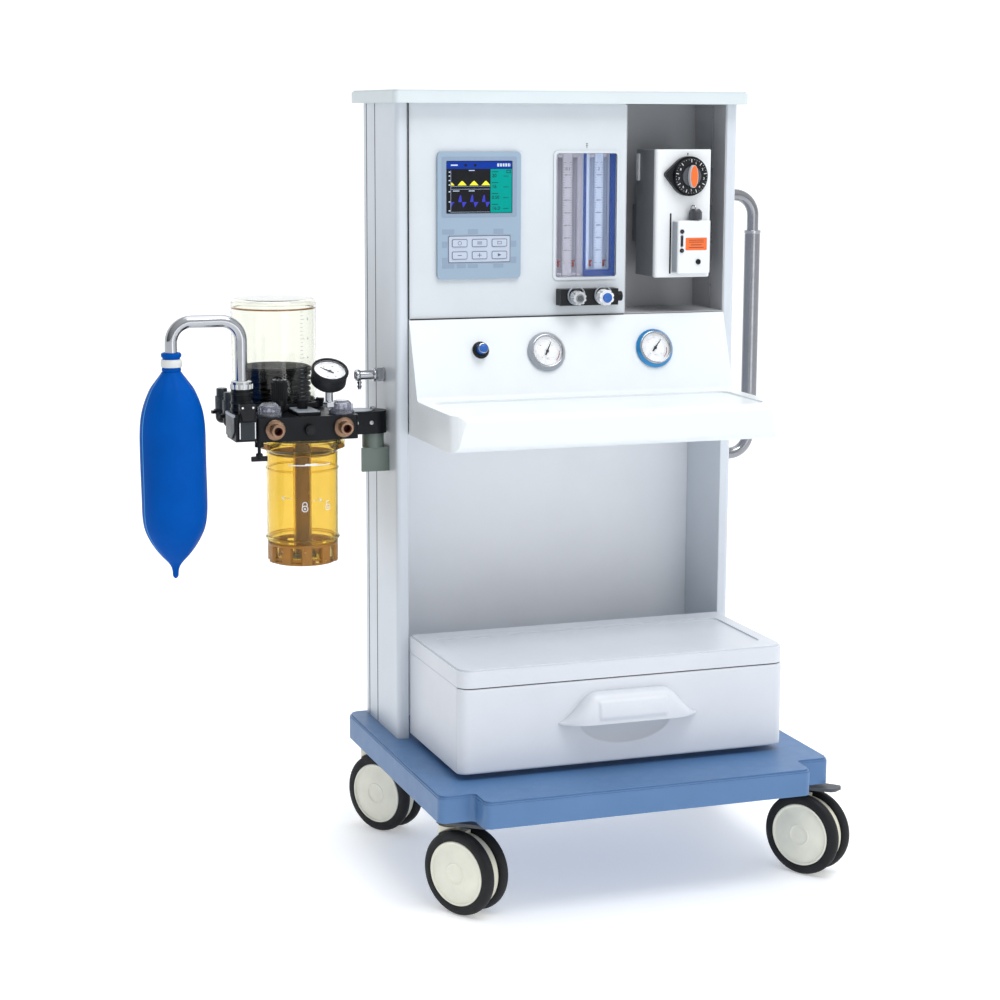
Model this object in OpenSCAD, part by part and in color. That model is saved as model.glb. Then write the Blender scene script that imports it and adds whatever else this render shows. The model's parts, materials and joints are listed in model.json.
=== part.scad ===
// Veterinary anesthesia machine on casters: trolley, gas controls, vaporizer and circle system.
// Millimetres, +Z up. The origin is on the floor, under the centre of the bounding box.
// The machine's own frame has X = 0 on the centre plane, Y = 0 on the column fronts and +Y to the back.

/* [Overall] */
// Height from the floor to the top of the cover
total_h = 1410; // [1390:5:1450]
// Width over the outer faces of the two columns
frame_w = 668; // [660:2:680]
// Width of one column seen from the front
column_w = 22; // [20:1:24]
// Depth of one column
column_d = 210; // [200:2:220]

/* [Base and casters] */
// Width of the base tray
base_w = 742; // [736:2:760]
// Height of the base tray's top face
base_top = 222; // [220:1:226]
// Thickness of the base tray
base_t = 48; // [44:1:50]
// Distance from the column fronts to the front of the base
base_reach = 420; // [415:5:440]
// Distance from the column fronts to the back of the base
base_tail = 218; // [214:2:230]
// Diameter of the caster wheels
wheel_d = 150; // [140:2:152]
// Angle that the casters' axles are turned from the X axis
caster_turn = 31.85; // [0:1:90]

/* [Storage] */
// Width of the storage cabinet and drawer
cabinet_w = 622; // [610:2:622]
// Distance from the column fronts to the drawer's face
cabinet_reach = 294; // [285:1:300]
// Height of the seam between drawer and lid
seam_z = 387; // [380:1:395]
// Thickness of the lid
lid_t = 33; // [30:1:36]

/* [Console] */
// Height of the worktop shelf's surface
shelf_z = 858; // [850:1:866]
// Thickness of the shelf's front edge
shelf_t = 65; // [60:1:70]
// Distance from the column fronts to the shelf's front edge
shelf_reach = 264; // [255:1:270]
// Height where the sloped gauge face meets the upper panel
console_top = 1001; // [1000:1:1003]
// How far the foot of the gauge face stands in front of its top
slope_run = 52; // [48:1:56]

/* [Breathing system] */
// Height of the breathing block's underside
block_z = 792; // [790:1:794]
// Height of the breathing block
block_h = 43; // [42:1:44]
// Outer diameter of the bellows dome
dome_d = 156; // [154:1:158]
// Height of the bellows dome
dome_h = 195; // [185:1:200]
// Outer diameter of the absorbent canister
canister_d = 130; // [126:1:132]
// Outer diameter of the bag arm's tube
arm_tube_d = 22; // [20:1:22]
// Largest diameter of the breathing bag
bag_d = 118; // [110:2:120]

/* [Hidden] */
$fn = 64;

// Clearances
run_fit = 0.06;      // radial gap of a turning shaft in its bore
gap = 0.5;           // gap between pieces that slide past each other
eps = 0.01;          // overshoot of cutting tools

// Frame
col_x = frame_w / 2;                    // outer face of a column
inner_x = col_x - column_w;             // inner face of a column
cover_t = 23;                           // thickness of the top cover
cover_z = total_h - cover_t;            // underside of the top cover
cover_side = 11;                        // overhang of the cover past a column
cover_front = 25;                       // overhang of the cover to the front
cover_back = 46;                        // overhang of the cover to the back
back_y = 152;                           // front face of the back panel
panel_t = 3;                            // thickness of sheet panels
slot_w = 5;                             // width of a column's T-slot
slot_ys = [column_d - 78, column_d - 23];
base_bottom = base_top - base_t;
notch_x = 63;                           // width of the base's stepped corners
notch_y = 55;                           // depth of the base's stepped corners
wall = 4;                               // wall of the moulded parts

// Casters
wheel_r = wheel_d / 2;
stem_x = base_w / 2 - 41;               // stem axis from the centre plane
stem_front_y = -base_reach + 121;
stem_rear_y = base_tail - 28;
trail = 36;                             // offset of the axle from the stem
wheel_w = 21;                           // width of one wheel of a twin
wheel_gap = 16;                         // gap between the two wheels
axle_r = 6;
stem_r = 8;
neck_r = 14;                            // neck of the yoke under the stem
pedal_z = wheel_r + 83;                 // pins of the brake pedals
pedal_tilt = 5;                         // upward tilt of a released pedal
pedal_reach = 98;

// Storage
cabinet_z = base_top + 11;              // underside of the cabinet
front_t = 18;                           // thickness of the drawer front
tray_w = cabinet_w - 50;                // width of the drawer tray
handle_half = 132;                      // half length of the drawer handle
handle_flat = 72;                       // half length of its level top edge
handle_zs = [302, 366];                 // lower and upper edge of the drawer handle
scoop_z = 266;                          // lower edge of the finger recess

// Upper panel
panel_right = 109;                      // right edge of the upper front panel
bezel_x = -178.5;                       // centre of the display unit
bezel_w = 159;
bezel_z = 1073;
bezel_h = 228;
bezel_t = 6;
screen_w = 126;
screen_h = 94;
screen_z = 1191;
keypad_w = 120;
keypad_h = 50;
keypad_z = 1102;
window_x = 31;                          // centre of the flow-meter window
window_w = 120;
window_z = 1072;
window_h = 226;
window_d = 46;                          // depth of the flow-meter housing
tube_xs = [-14, 15, 49, 76];             // the four flow tubes
tube_y = 26;
tube_r = 7;
tube_bore_r = 5;
float_r = 4.4;
float_h = 13;
tube_z = window_z + 8;
tube_len = window_h - 16;
valve_z = 1036.5;                       // axis of the two needle valves
valve_xs = [3, 56];
valve_block_d = 24;

// Vaporizer
vapor_x = 217;                          // centre of the vaporizer
vapor_w = 112;
vapor_front = -20;
vapor_back = 108;
vapor_z = 1069;
vapor_h = 236;
dial_pos = [224, 1256];
dial_r = 33;
dial_t = 26;
cap_pos = [236, -33];                   // axis of the filler cap
cap_z = 1174;
sight_x = 204.5;                        // centre of the sight groove and its two screws

// Console
ledge = 3;                              // depth of the console's upper edge
slope_h = console_top - shelf_z - 1;
slope_a = atan((slope_run - ledge) / slope_h);  // tilt of the gauge face from upright
gauge_xs = [-55, 160];
gauge_z = 938;
gauge_r = 36;
needle_angles = [62, 50];               // rest directions of the two panel needles
button_x = -183;
button_z = 944;
button_r = 9;
button_travel = 6;
function slope_y(z) = -ledge - (console_top - z) * (slope_run - ledge) / slope_h;

// Breathing system
block_left = -595;
block_right = -409;
block_front = -12;
block_back = 236;
block_top = block_z + block_h;
pivot = [-360, 66];                     // vertical axis of the support arm
arm_d = 50;                             // depth of the support arm
arm_h = 41;
post_r = 20;                            // post under the support arm
arm_z = block_z - 1;
post_top = arm_z - gap;
dome_pos = [-522, 158];
dome_wall = 3;
dome_seat = 4;                          // height of the dome's seat ring
dome_z = block_top + dome_seat;
bellows_r = 68;
bellows_h = 58;                         // height of the collapsed bellows
fold_count = 6;
disc_t = 8;
bellows_rise = 100;
leg_pos = [-613, 30];                   // axis of the bag arm's leg
arm_span = 125;                         // from that leg to the bag's leg
arm_top = 1006;                         // centre line of the bag arm's top run
arm_bend = 36;
socket_top = 884;
socket_r = 19;
housing_w = 40;                         // width of the bag arm's housing
canister_pos = [-494, 68];
collar_r = 78;
collar_h = 20;
seal_r = 69;                            // middle radius of the canister's seal
canister_h = 232;
canister_cap_h = 46;
canister_top = block_z - 1.5;
bag_neck_z = 946;                       // lower end of the bag arm's tube
bag_shoulder_z = 922;
bag_tip_z = 545;
port_xs = [-563, -437];
port_z = block_z + 22;
port_r = 11;
port_bore_r = 7.5;
port_len = 26;
airway_pos = [-459, 4];
airway_z = 905;
airway_tilt = 32;                       // tilt of the airway gauge's face from level
airway_r = 33;
apl_pos = [-536, 62];
valve_dome_xs = [-565, -431];
valve_dome_y = 24;
valve_dome_r = 20;
lever_pos = [leg_pos[0], 848];
lever_t = 6;

// Side handle
handle_y = 100;
handle_x = 418;
handle_top = 1216;
handle_bottom = 712;
handle_bend = 40;
handle_r = 11;
grip_r = 15;
grip_span = [762, 1144];

// Gas outlet on the left column
outlet_pos = [80, 895];

// Power inlet and switch on the back
inlet_x = -190;
inlet_z = 1050;
rear_inlet_xs = [40, 100, 160];        // pipeline gas inlets
rear_inlet_z = 1050;

// Bounding box of the machine, which sets the origin
left_end = leg_pos[0] - arm_span - bag_d / 2;
right_end = handle_x + grip_r;
origin_x = (left_end + right_end) / 2;
origin_y = (column_d + cover_back - base_reach) / 2;

// ---- Helpers -------------------------------------------------------------------------------

module at_machine() {
  translate([-origin_x, -origin_y, 0]) children();
}

// Points of the round corner of radius r at p, between its neighbours a and b
function corner(a, p, b, r, steps = 8) =
  r <= 0 ? [p] :
  let (
    u = (a - p) / norm(a - p),
    v = (b - p) / norm(b - p),
    half = acos(max(-1, min(1, u * v))) / 2,
    c = p + (u + v) / norm(u + v) * r / sin(half),
    s = p + u * r / tan(half) - c,
    e = p + v * r / tan(half) - c,
    start = atan2(s[1], s[0]),
    turn = atan2(s[0] * e[1] - s[1] * e[0], s * e)
  )
  [for (i = [0:steps]) c + r * [cos(start + turn * i / steps), sin(start + turn * i / steps)]];

// Outline through points, with corner i rounded to radii[i]
function rounded(points, radii) =
  let (n = len(points))
  [for (i = [0:n - 1]) each corner(points[(i + n - 1) % n], points[i], points[(i + 1) % n], radii[i])];

// Rectangle from low to high with all its corners rounded to r
function rounded_box(low, high, r) =
  rounded([low, [high[0], low[1]], high, [low[0], high[1]]], [r, r, r, r]);

// Upright plate: a rounded rectangle in X and Z, from front to front + t in Y
module front_plate(x0, x1, z0, z1, front, t, r) {
  translate([0, front + t, 0])
    rotate([90, 0, 0])
      linear_extrude(t)
        polygon(rounded_box([x0, z0], [x1, z1], r));
}

// Level plate: a rounded rectangle in X and Y, from z to z + t
module level_plate(x0, x1, y0, y1, z, t, r) {
  translate([0, 0, z])
    linear_extrude(t)
      polygon(rounded_box([x0, y0], [x1, y1], r));
}

// Block between two opposite corners
module block(low, high) {
  translate(low)
    cube(high - low);
}

// Cylinder along -Y that starts at y and stands out by h
module forward_cylinder(x, y, z, r, h) {
  translate([x, y, z])
    rotate([90, 0, 0])
      cylinder(r = r, h = h);
}

// Cylinder along X from x0 to x1
module cross_cylinder(x0, x1, y, z, r) {
  translate([x0, y, z])
    rotate([0, 90, 0])
      cylinder(r = r, h = x1 - x0);
}

// Ring round the Z axis with an inner and an outer radius
module ring(r_in, r_out, h) {
  rotate_extrude()
    translate([r_in, 0])
      square([r_out - r_in, h]);
}

// Tube elbow in the XZ plane: from a point heading down to one heading along -X
module elbow(r, bend) {
  rotate([90, 0, 0])
    rotate_extrude(angle = 90)
      translate([bend, 0])
        circle(r);
}

// Places children on the sloped gauge face at x and z, with their +Z out of the face
module on_slope(x, z) {
  translate([x, slope_y(z), z])
    rotate([90 - slope_a, 0, 0])
      children();
}

// Moves children to a caster's stem and turns them to the casters' heading
module at_caster(side, y) {
  translate([side * stem_x, y, 0])
    rotate([0, 0, caster_turn])
      children();
}

// ---- Frame ---------------------------------------------------------------------------------

// Outline of the base tray, drawn in by inset; the front corners are stepped back
module base_outline(inset) {
  x = base_w / 2 - inset;
  xn = base_w / 2 - notch_x - inset;
  front = -base_reach + inset;
  step = -base_reach + notch_y + inset;
  back = base_tail - inset;
  polygon(rounded(
    [[-x, back], [-x, step], [-xn, step], [-xn, front], [xn, front], [xn, step], [x, step], [x, back]],
    [20, 14, 10, 14, 14, 10, 14, 20]));
}

module base_tray() {
  lip = 3;
  boss_r = 26;
  at_machine() color("steelblue") {
    difference() {
      union() {
        translate([0, 0, base_bottom]) linear_extrude(base_t - 2 * lip) base_outline(0);
        translate([0, 0, base_top - 2 * lip]) linear_extrude(lip) base_outline(1);
        translate([0, 0, base_top - lip]) linear_extrude(lip) base_outline(lip);
      }
      difference() {
        translate([0, 0, base_bottom - eps]) linear_extrude(base_t - 2 * wall) base_outline(wall);
        caster_bosses(boss_r, base_t - wall);
      }
      caster_bosses(stem_r + run_fit, base_t - 2 * wall - 4);
    }
  }
}

// Four upright cylinders on the stem axes, from the tray's underside up into it
module caster_bosses(r, h) {
  for (side = [-1, 1], y = [stem_front_y, stem_rear_y])
    translate([side * stem_x, y, base_bottom - 2 * eps])
      cylinder(r = r, h = h);
}

// Column extrusion, with its outer face on X = 0 and its body towards +X
module column_profile() {
  web = 2.5;
  cell_n = 3;
  cell_d = (column_d - 30 - web * (cell_n + 1)) / cell_n;
  difference() {
    polygon(rounded([[0, 0], [column_w, 0], [column_w, column_d], [0, column_d]], [9, 2, 2, 6]));
    for (i = [0:cell_n - 1])
      translate([8, 15 + web + i * (cell_d + web)])
        square([column_w - 8 - web, cell_d]);
    for (y = slot_ys) {
      translate([-eps, y - slot_w / 2]) square([4, slot_w]);
      translate([2, y - slot_w]) square([4, 2 * slot_w]);
    }
  }
}

module column(side) {
  at_machine()
    color("whitesmoke")
      translate([side * col_x, 0, base_top])
        mirror([side > 0 ? 1 : 0, 0, 0])
          linear_extrude(cover_z - base_top)
            column_profile();
}

module left_column() { column(-1); }

module right_column() { column(1); }

module top_cover() {
  x = col_x + cover_side;
  lip = 3;
  at_machine() color("whitesmoke")
    difference() {
      union() {
        level_plate(-x, x, -cover_front, column_d + cover_back, cover_z, cover_t - lip, 10);
        level_plate(-x + lip, x - lip, -cover_front + lip, column_d + cover_back - lip,
                    total_h - lip, lip, 8);
      }
      level_plate(-inner_x + 8, inner_x - 8, 12, back_y - 10, cover_z - eps, cover_t - wall - 4, 6);
    }
}

module back_panel() {
  vent_n = 9;
  vent_pitch = 14;
  at_machine() color("gainsboro")
    difference() {
      block([-inner_x, back_y, base_top], [inner_x, back_y + panel_t, cover_z]);
      for (x = [-190, 150], i = [0:vent_n - 1])
        block([x - 55, back_y - 1, 1210 + i * vent_pitch], [x + 55, back_y + 4, 1216 + i * vent_pitch]);
      block([inlet_x - 46, back_y - 1, inlet_z - 26], [inlet_x + 46, back_y + 4, inlet_z + 26]);
      for (x = rear_inlet_xs)
        translate([x, back_y + 4, rear_inlet_z])
          rotate([90, 0, 0])
            cylinder(r = 9.5, h = 6);
    }
}

module front_panel() {
  at_machine() color("gainsboro")
    difference() {
      union() {
        front_plate(-inner_x, panel_right, console_top, cover_z, 0, panel_t, 4);
        block([panel_right - panel_t, 0.5, console_top + 1], [panel_right, 20, cover_z - 1]);
        window_rim();
      }
      front_plate(window_x - window_w / 2, window_x + window_w / 2, window_z, window_z + window_h,
                  -10, 20, 5);
      front_plate(bezel_x - bezel_w / 2 + 12, bezel_x + bezel_w / 2 - 12, bezel_z + 14,
                  bezel_z + bezel_h - 14, -1, 8, 3);
      for (x = valve_xs)
        forward_cylinder(x, 5, valve_z, 5.5, 8);
    }
}

// Raised rim round the flow-meter window
module window_rim() {
  rim = 5;
  front_plate(window_x - window_w / 2 - rim, window_x + window_w / 2 + rim, window_z - rim,
              window_z + window_h + rim, -2, 4, 9);
}

module vaporizer_bay() {
  t = 2;
  x0 = panel_right + 0.2;
  x1 = inner_x - 0.2;
  y1 = back_y - 12;
  z0 = console_top + 0.5;
  z1 = cover_z - 0.2;
  at_machine() color("dimgray")
    difference() {
      block([x0, 1, z0], [x1, y1, z1]);
      block([x0 + t, 0, z0 + t], [x1 - t, y1 - t, z1 + 1]);
    }
}

// ---- Console -------------------------------------------------------------------------------

// Side outline of the console in Y and Z, drawn in by inset
function console_side(inset) =
  rounded(
    [
      [eps + (inset > 0 ? 5 : 0), console_top - inset],
      [-ledge - inset * 0.3, console_top - inset],
      [-slope_run + inset, shelf_z + 1 - inset],
      [-shelf_reach + inset, shelf_z - inset],
      [-shelf_reach + 10 + inset, shelf_z - shelf_t + inset],
      [eps + (inset > 0 ? 5 : 0), shelf_z - shelf_t + inset]
    ],
    [0, 2, 10, 12, 16, 0]);

module console_solid(inset) {
  half = inner_x - 1 - inset;
  intersection() {
    translate([-half, 0, 0])
      rotate([90, 0, 90])
        linear_extrude(2 * half)
          polygon(console_side(inset));
    translate([0, 0, shelf_z - shelf_t - 10])
      linear_extrude(slope_h + shelf_t + 20)
        polygon(rounded(
          [[-half, 10], [-half, -shelf_reach + inset], [half, -shelf_reach + inset], [half, 10]],
          [0, 34, 34, 0]));
  }
}

module console() {
  recess = 4;
  at_machine() color("white") {
    difference() {
      console_solid(0);
      console_solid(wall);
      level_plate(-inner_x + 24, inner_x - 24, -shelf_reach + 22, -slope_run - 16, shelf_z - recess + 1.5,
                  recess, 20);
      for (x = gauge_xs)
        on_slope(x, gauge_z) translate([0, 0, -30]) cylinder(r = 24, h = 60);
      on_slope(button_x, button_z) translate([0, 0, -30]) cylinder(r = 13, h = 60);
    }
    block([-inner_x + 1, -3, shelf_z - shelf_t], [inner_x - 1, back_y - 0.2, shelf_z - shelf_t + wall]);
    on_slope(button_x, button_z) button_collar();
  }
}

// Flanged guide of the flush button, set into the sloped face
module button_collar() {
  difference() {
    union() {
      translate([0, 0, -22]) cylinder(r = 12.8, h = 23);
      cylinder(r = 16, h = 3);
    }
    translate([0, 0, -5]) cylinder(r = button_r + gap, h = 10);
    translate([0, 0, -23]) cylinder(r = 4 + run_fit, h = 20);
  }
}

// Body of one pressure gauge, standing out of the sloped face
module slope_gauge() {
  difference() {
    union() {
      ring(24, gauge_r, 5);
      translate([0, 0, 5 - eps]) ring(27.5, 31.5, 6);
      translate([0, 0, -28]) cylinder(r = 23.5, h = 31);
      cylinder(r = 28, h = 4);
      translate([0, 0, -40]) cylinder(r = 6, h = 13);
    }
    translate([0, 0, 2]) cylinder(r = 2 + run_fit, h = 10);
  }
  translate([0, 0, 9]) cylinder(r = 28, h = 1.6);
}

module panel_gauges() {
  at_machine() color("silver")
    for (x = gauge_xs)
      on_slope(x, gauge_z) slope_gauge();
}

// Needle in the plane of a dial: a tapered pointer on a hub that turns in the dial's bore
module needle(length, tail, angle) {
  rotate([0, 0, angle]) {
    linear_extrude(0.8)
      polygon([[-tail, -1.6], [0, -1.6], [length, -0.3], [length, 0.3], [0, 1.6], [-tail, 1.6]]);
    translate([0, 0, -3]) cylinder(r = 2, h = 4.5);
  }
}

module air_gauge_needle() {
  at_machine() color("black")
    on_slope(gauge_xs[0], gauge_z) translate([0, 0, 5.6]) needle(21, 8, needle_angles[0]);
}

module oxygen_gauge_needle() {
  at_machine() color("black")
    on_slope(gauge_xs[1], gauge_z) translate([0, 0, 5.6]) needle(21, 8, needle_angles[1]);
}

module flush_button() {
  at_machine()
    on_slope(button_x, button_z) {
      color("royalblue") translate([0, 0, 4]) {
        cylinder(r = button_r, h = 18);
        translate([0, 0, -22]) cylinder(r = 4, h = 23);
      }
    }
}

// ---- Storage -------------------------------------------------------------------------------

module storage_cabinet() {
  half = cabinet_w / 2;
  front = -cabinet_reach + front_t + 1;
  rail_z = cabinet_z + 60;
  at_machine() color("ivory") {
    difference() {
      block([-half, front, cabinet_z], [half, -1, seam_z]);
      block([-half + wall, front - 1, cabinet_z + wall], [half - wall, -1 - wall, seam_z + 1]);
    }
    for (side = [-1, 1])
      translate([side * (half - wall - 5.5), (front - 1) / 2 - 2, rail_z])
        cube([11, -front - 12, 30], center = true);
    level_plate(-half + 30, half - 30, front + 20, -20, base_top, cabinet_z - base_top, 10);
  }
}

module storage_lid() {
  half = cabinet_w / 2;
  lip = 3;
  at_machine() color("white")
    difference() {
      union() {
        lid_plate(0, seam_z + 0.5, lid_t - lip - 0.5);
        lid_plate(lip, seam_z + lid_t - lip, lip);
      }
      lid_plate(wall + 1, seam_z, lid_t - wall - 4);
      level_plate(-half + 34, half - 26, -cabinet_reach + 44, -50, seam_z + lid_t - 3, 4, 14);
    }
}

// Lid outline, drawn in by inset, from z upwards by t, with round front corners
module lid_plate(inset, z, t) {
  half = cabinet_w / 2 - inset;
  front = -cabinet_reach + inset;
  translate([0, 0, z])
    linear_extrude(t)
      polygon(rounded([[-half, -1 - inset], [-half, front], [half, front], [half, -1 - inset]],
                      [0, 22, 22, 0]));
}

module drawer_front() {
  half = cabinet_w / 2;
  front = -cabinet_reach;
  at_machine() color("white") {
    difference() {
      translate([0, 0, cabinet_z])
        linear_extrude(seam_z - cabinet_z - 1)
          polygon(rounded([[-half, front + front_t], [-half, front], [half, front], [half, front + front_t]],
                          [0, 17, 17, 0]));
      scoop(front);
    }
    drawer_handle(front);
  }
}

// Shallow round finger recess under the handle: the tip of a large ball, ended behind the handle
module scoop(front) {
  half = 82;
  depth = 12;
  ball_r = (half * half + depth * depth) / (2 * depth);
  intersection() {
    translate([0, front - ball_r + depth, scoop_z + half]) sphere(r = ball_r, $fn = 128);
    block([-half, front - 1, scoop_z - 1], [half, front + depth + 1, handle_zs[0] + 38]);
  }
}

// Hooded pull: the outline is a flat-topped bar with pointed ends, hollow behind
module drawer_handle(front) {
  outline = rounded(
    [[-handle_half, handle_zs[0] + 16], [-handle_flat, handle_zs[1]], [handle_flat, handle_zs[1]],
     [handle_half, handle_zs[0] + 16], [handle_flat + 20, handle_zs[0]], [-handle_flat - 20, handle_zs[0]]],
    [6, 30, 30, 6, 30, 30]);
  depth = 26;
  translate([0, front, 0])
    rotate([90, 0, 0])
      difference() {
        linear_extrude(depth) polygon(outline);
        translate([-100, handle_zs[0] - 10, -1])
          cube([200, 50, depth - 4]);
      }
}

module drawer_tray() {
  half = tray_w / 2;
  front = -cabinet_reach + front_t;
  z = cabinet_z + wall + 6;
  t = 2;
  at_machine() color("lightgray") {
    difference() {
      block([-half, front, z], [half, -24, seam_z - 16]);
      block([-half + t, front + t, z + t], [half - t, -24 - t, seam_z]);
    }
    for (side = [-1, 1])
      translate([side * (half + 3.5), (front - 30) / 2, cabinet_z + 60])
        cube([7 + eps, -front - 34, 22], center = true);
  }
}

// ---- Side handle ---------------------------------------------------------------------------

module side_handle() {
  at_machine() color("silver") {
    handle_end(handle_top);
    mirror_z(handle_bottom) handle_end(handle_bottom);
    translate([handle_x, handle_y, handle_bottom + handle_bend])
      cylinder(r = handle_r, h = handle_top - handle_bottom - 2 * handle_bend);
    translate([handle_x, handle_y, grip_span[0]])
      cylinder(r = grip_r, h = grip_span[1] - grip_span[0]);
  }
}

// Mirrors children in the level plane at z
module mirror_z(z) {
  translate([0, 0, z])
    mirror([0, 0, 1])
      translate([0, 0, -z])
        children();
}

// Flange on the column, level run and bend of the handle at height z, bending downwards
module handle_end(z) {
  cross_cylinder(col_x, col_x + 6, handle_y, z, 20);
  cross_cylinder(col_x + 5, handle_x - handle_bend, handle_y, z, handle_r);
  translate([handle_x - handle_bend, handle_y, z - handle_bend])
    elbow(handle_r, handle_bend);
}

// ---- Casters -------------------------------------------------------------------------------
// In a caster's own frame the stem is on Z, the axle runs along X and the wheels trail to -Y.

module caster_yoke(side, y) {
  core_w = wheel_gap - 2;
  core_r = wheel_r - 9;
  at_machine() color("ivory")
    at_caster(side, y)
      difference() {
        union() {
          cross_cylinder(-core_w / 2, core_w / 2, -trail, wheel_r, core_r);
          translate([0, 0, wheel_r + 30]) cylinder(r = 21, h = 46);
          translate([0, 0, wheel_r + 76 - eps]) cylinder(r = neck_r, h = 22);
          translate([0, 0, wheel_r + 80]) cylinder(r = stem_r, h = 50);
          block([-core_w / 2, -trail - 4, wheel_r + 20], [core_w / 2, 18, wheel_r + 72]);
        }
        cross_cylinder(-20, 20, -trail, wheel_r, axle_r + run_fit);
        if (y == stem_front_y)
          cross_cylinder(-20, 20, 0, pedal_z, 2 + run_fit);
        for (x = [-1, 1])
          cross_cylinder(min(x * core_w / 2, x * 40), max(x * core_w / 2, x * 40), -trail, wheel_r,
                         wheel_r + 2);
      }
}

module caster_wheels(side, y) {
  at_machine()
    at_caster(side, y)
      translate([0, -trail, wheel_r])
        rotate([0, 90, 0]) {
          color("ivory") translate([0, 0, -wheel_gap / 2 - 8]) cylinder(r = axle_r, h = wheel_gap + 16);
          for (end = [0, 1])
            mirror([0, 0, end])
              translate([0, 0, wheel_gap / 2])
                wheel();
        }
}

// One wheel of a twin: its inner face on Z = 0 and its domed cover to +Z
module wheel() {
  color("dimgray")
    rotate_extrude()
      polygon(rounded([[wheel_r - 17, 1], [wheel_r, 1], [wheel_r, wheel_w], [wheel_r - 17, wheel_w]],
                      [1, 7, 7, 1]));
  color("ivory")
    rotate_extrude()
      polygon([[0, 4], [wheel_r - 17 - eps, 4], [wheel_r - 17 - eps, wheel_w - 2],
               [wheel_r - 20, wheel_w - 0.5], [wheel_r - 22, wheel_w - 2], [22, wheel_w + 1],
               [20, wheel_w + 2], [18, wheel_w + 1], [0, wheel_w + 1.5]]);
}

// Foot lever over the wheels, tilted up when released, on two pins in the yoke's neck
module brake_pedal(side) {
  at_machine() color("dimgray")
    at_caster(side, stem_front_y)
      translate([0, 0, pedal_z])
        rotate([-pedal_tilt, 0, 0]) {
          difference() {
            translate([0, 0, -3])
              linear_extrude(6)
                polygon(rounded(
                  [[-22, 20], [-22, -22], [-16, -pedal_reach], [16, -pedal_reach], [22, -22], [22, 20]],
                  [12, 20, 10, 10, 20, 12]));
            translate([0, 0, -10]) cylinder(r = neck_r + 2.5, h = 20);
          }
          for (end = [-1, 1])
            cross_cylinder(min(end * 19, end * 11), max(end * 19, end * 11), 0, 0, 2);
        }
}

// ---- Display -------------------------------------------------------------------------------

module display_bezel() {
  x0 = bezel_x - bezel_w / 2;
  x1 = bezel_x + bezel_w / 2;
  at_machine() color("lightsteelblue") {
    difference() {
      front_plate(x0, x1, bezel_z, bezel_z + bezel_h, -bezel_t, bezel_t - 0.1, 8);
      front_plate(bezel_x - screen_w / 2, bezel_x + screen_w / 2, screen_z, screen_z + screen_h,
                  -bezel_t - 1, bezel_t + 3, 2);
      front_plate(bezel_x - keypad_w / 2 - 0.2, bezel_x + keypad_w / 2 + 0.2, keypad_z - 0.2,
                  keypad_z + keypad_h + 0.2, -bezel_t - 1, 3, 3);
    }
    difference() {
      front_plate(x0 + 13, x1 - 13, bezel_z + 15, bezel_z + bezel_h - 15, -1, 40, 3);
      front_plate(x0 + 16, x1 - 16, bezel_z + 18, bezel_z + bezel_h - 18, -2, 38, 3);
    }
  }
}

module display_screen() {
  at_machine() color("midnightblue")
    front_plate(bezel_x - screen_w / 2 + 0.2, bezel_x + screen_w / 2 - 0.2, screen_z + 0.2,
                screen_z + screen_h - 0.2, -bezel_t + 1.5, 3, 2);
}

// Membrane keypad: a frame plate with six printed keys that stand slightly proud
module keypad() {
  key_w = 29;
  key_h = 14;
  at_machine() color("lightgray") {
    front_plate(bezel_x - keypad_w / 2, bezel_x + keypad_w / 2, keypad_z, keypad_z + keypad_h,
                -bezel_t - 0.5, 2.4, 3);
    for (col = [-1:1], row = [0, 1])
      front_plate(bezel_x + col * 38 - key_w / 2, bezel_x + col * 38 + key_w / 2,
                  keypad_z + 7 + row * 22, keypad_z + 7 + row * 22 + key_h, -bezel_t - 1.3, 0.9, 2);
  }
}

// ---- Flow meters ---------------------------------------------------------------------------

module flow_window() {
  x0 = window_x - window_w / 2;
  x1 = window_x + window_w / 2;
  at_machine() {
    color("lavender")
      difference() {
        block([x0 - 4, panel_t + 0.2, window_z - 4], [x1 + 4, window_d, window_z + window_h + 4]);
        block([x0 + 1, panel_t - 1, window_z + 1], [x1 - 1, window_d - 3, window_z + window_h - 1]);
      }
    color("aliceblue")
      front_plate(x0 + 0.5, x1 - 0.5, window_z + 0.5, window_z + window_h - 0.5, -0.5, 3.8, 5);
  }
}

module flow_tubes() {
  at_machine() color("white")
    for (x = tube_xs)
      translate([x, tube_y, tube_z]) {
        difference() {
          cylinder(r = tube_r, h = tube_len);
          translate([0, 0, 8]) cylinder(r = tube_bore_r, h = tube_len);
        }
        translate([0, 0, -7 + eps]) cylinder(r = tube_r - 2, h = 7);
        translate([0, 0, tube_len - 8]) cylinder(r = tube_bore_r - eps, h = 8);
      }
}

// Two floats at the foot of a pair of tubes
module floats(first) {
  at_machine() color("red")
    for (i = [first, first + 1])
      translate([tube_xs[i], tube_y, tube_z + 8.5])
        rotate_extrude()
          polygon([[0, 0], [2.5, 2], [2.5, float_h - 3], [float_r, float_h - 2], [float_r, float_h],
                   [0, float_h]]);
}

module flow_valve_block() {
  at_machine() color("dimgray")
    difference() {
      union() {
        block([window_x - 58, -valve_block_d, valve_z - 15], [window_x + 56, -0.1, valve_z + 15]);
        cross_cylinder(window_x + 56 - eps, window_x + 66, -valve_block_d / 2 - 1, valve_z, 9);
        for (x = valve_xs)
          forward_cylinder(x, 4, valve_z, 5, 8);
      }
      for (x = valve_xs)
        forward_cylinder(x, -8, valve_z, 3.5 + run_fit, 30);
    }
}

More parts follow.
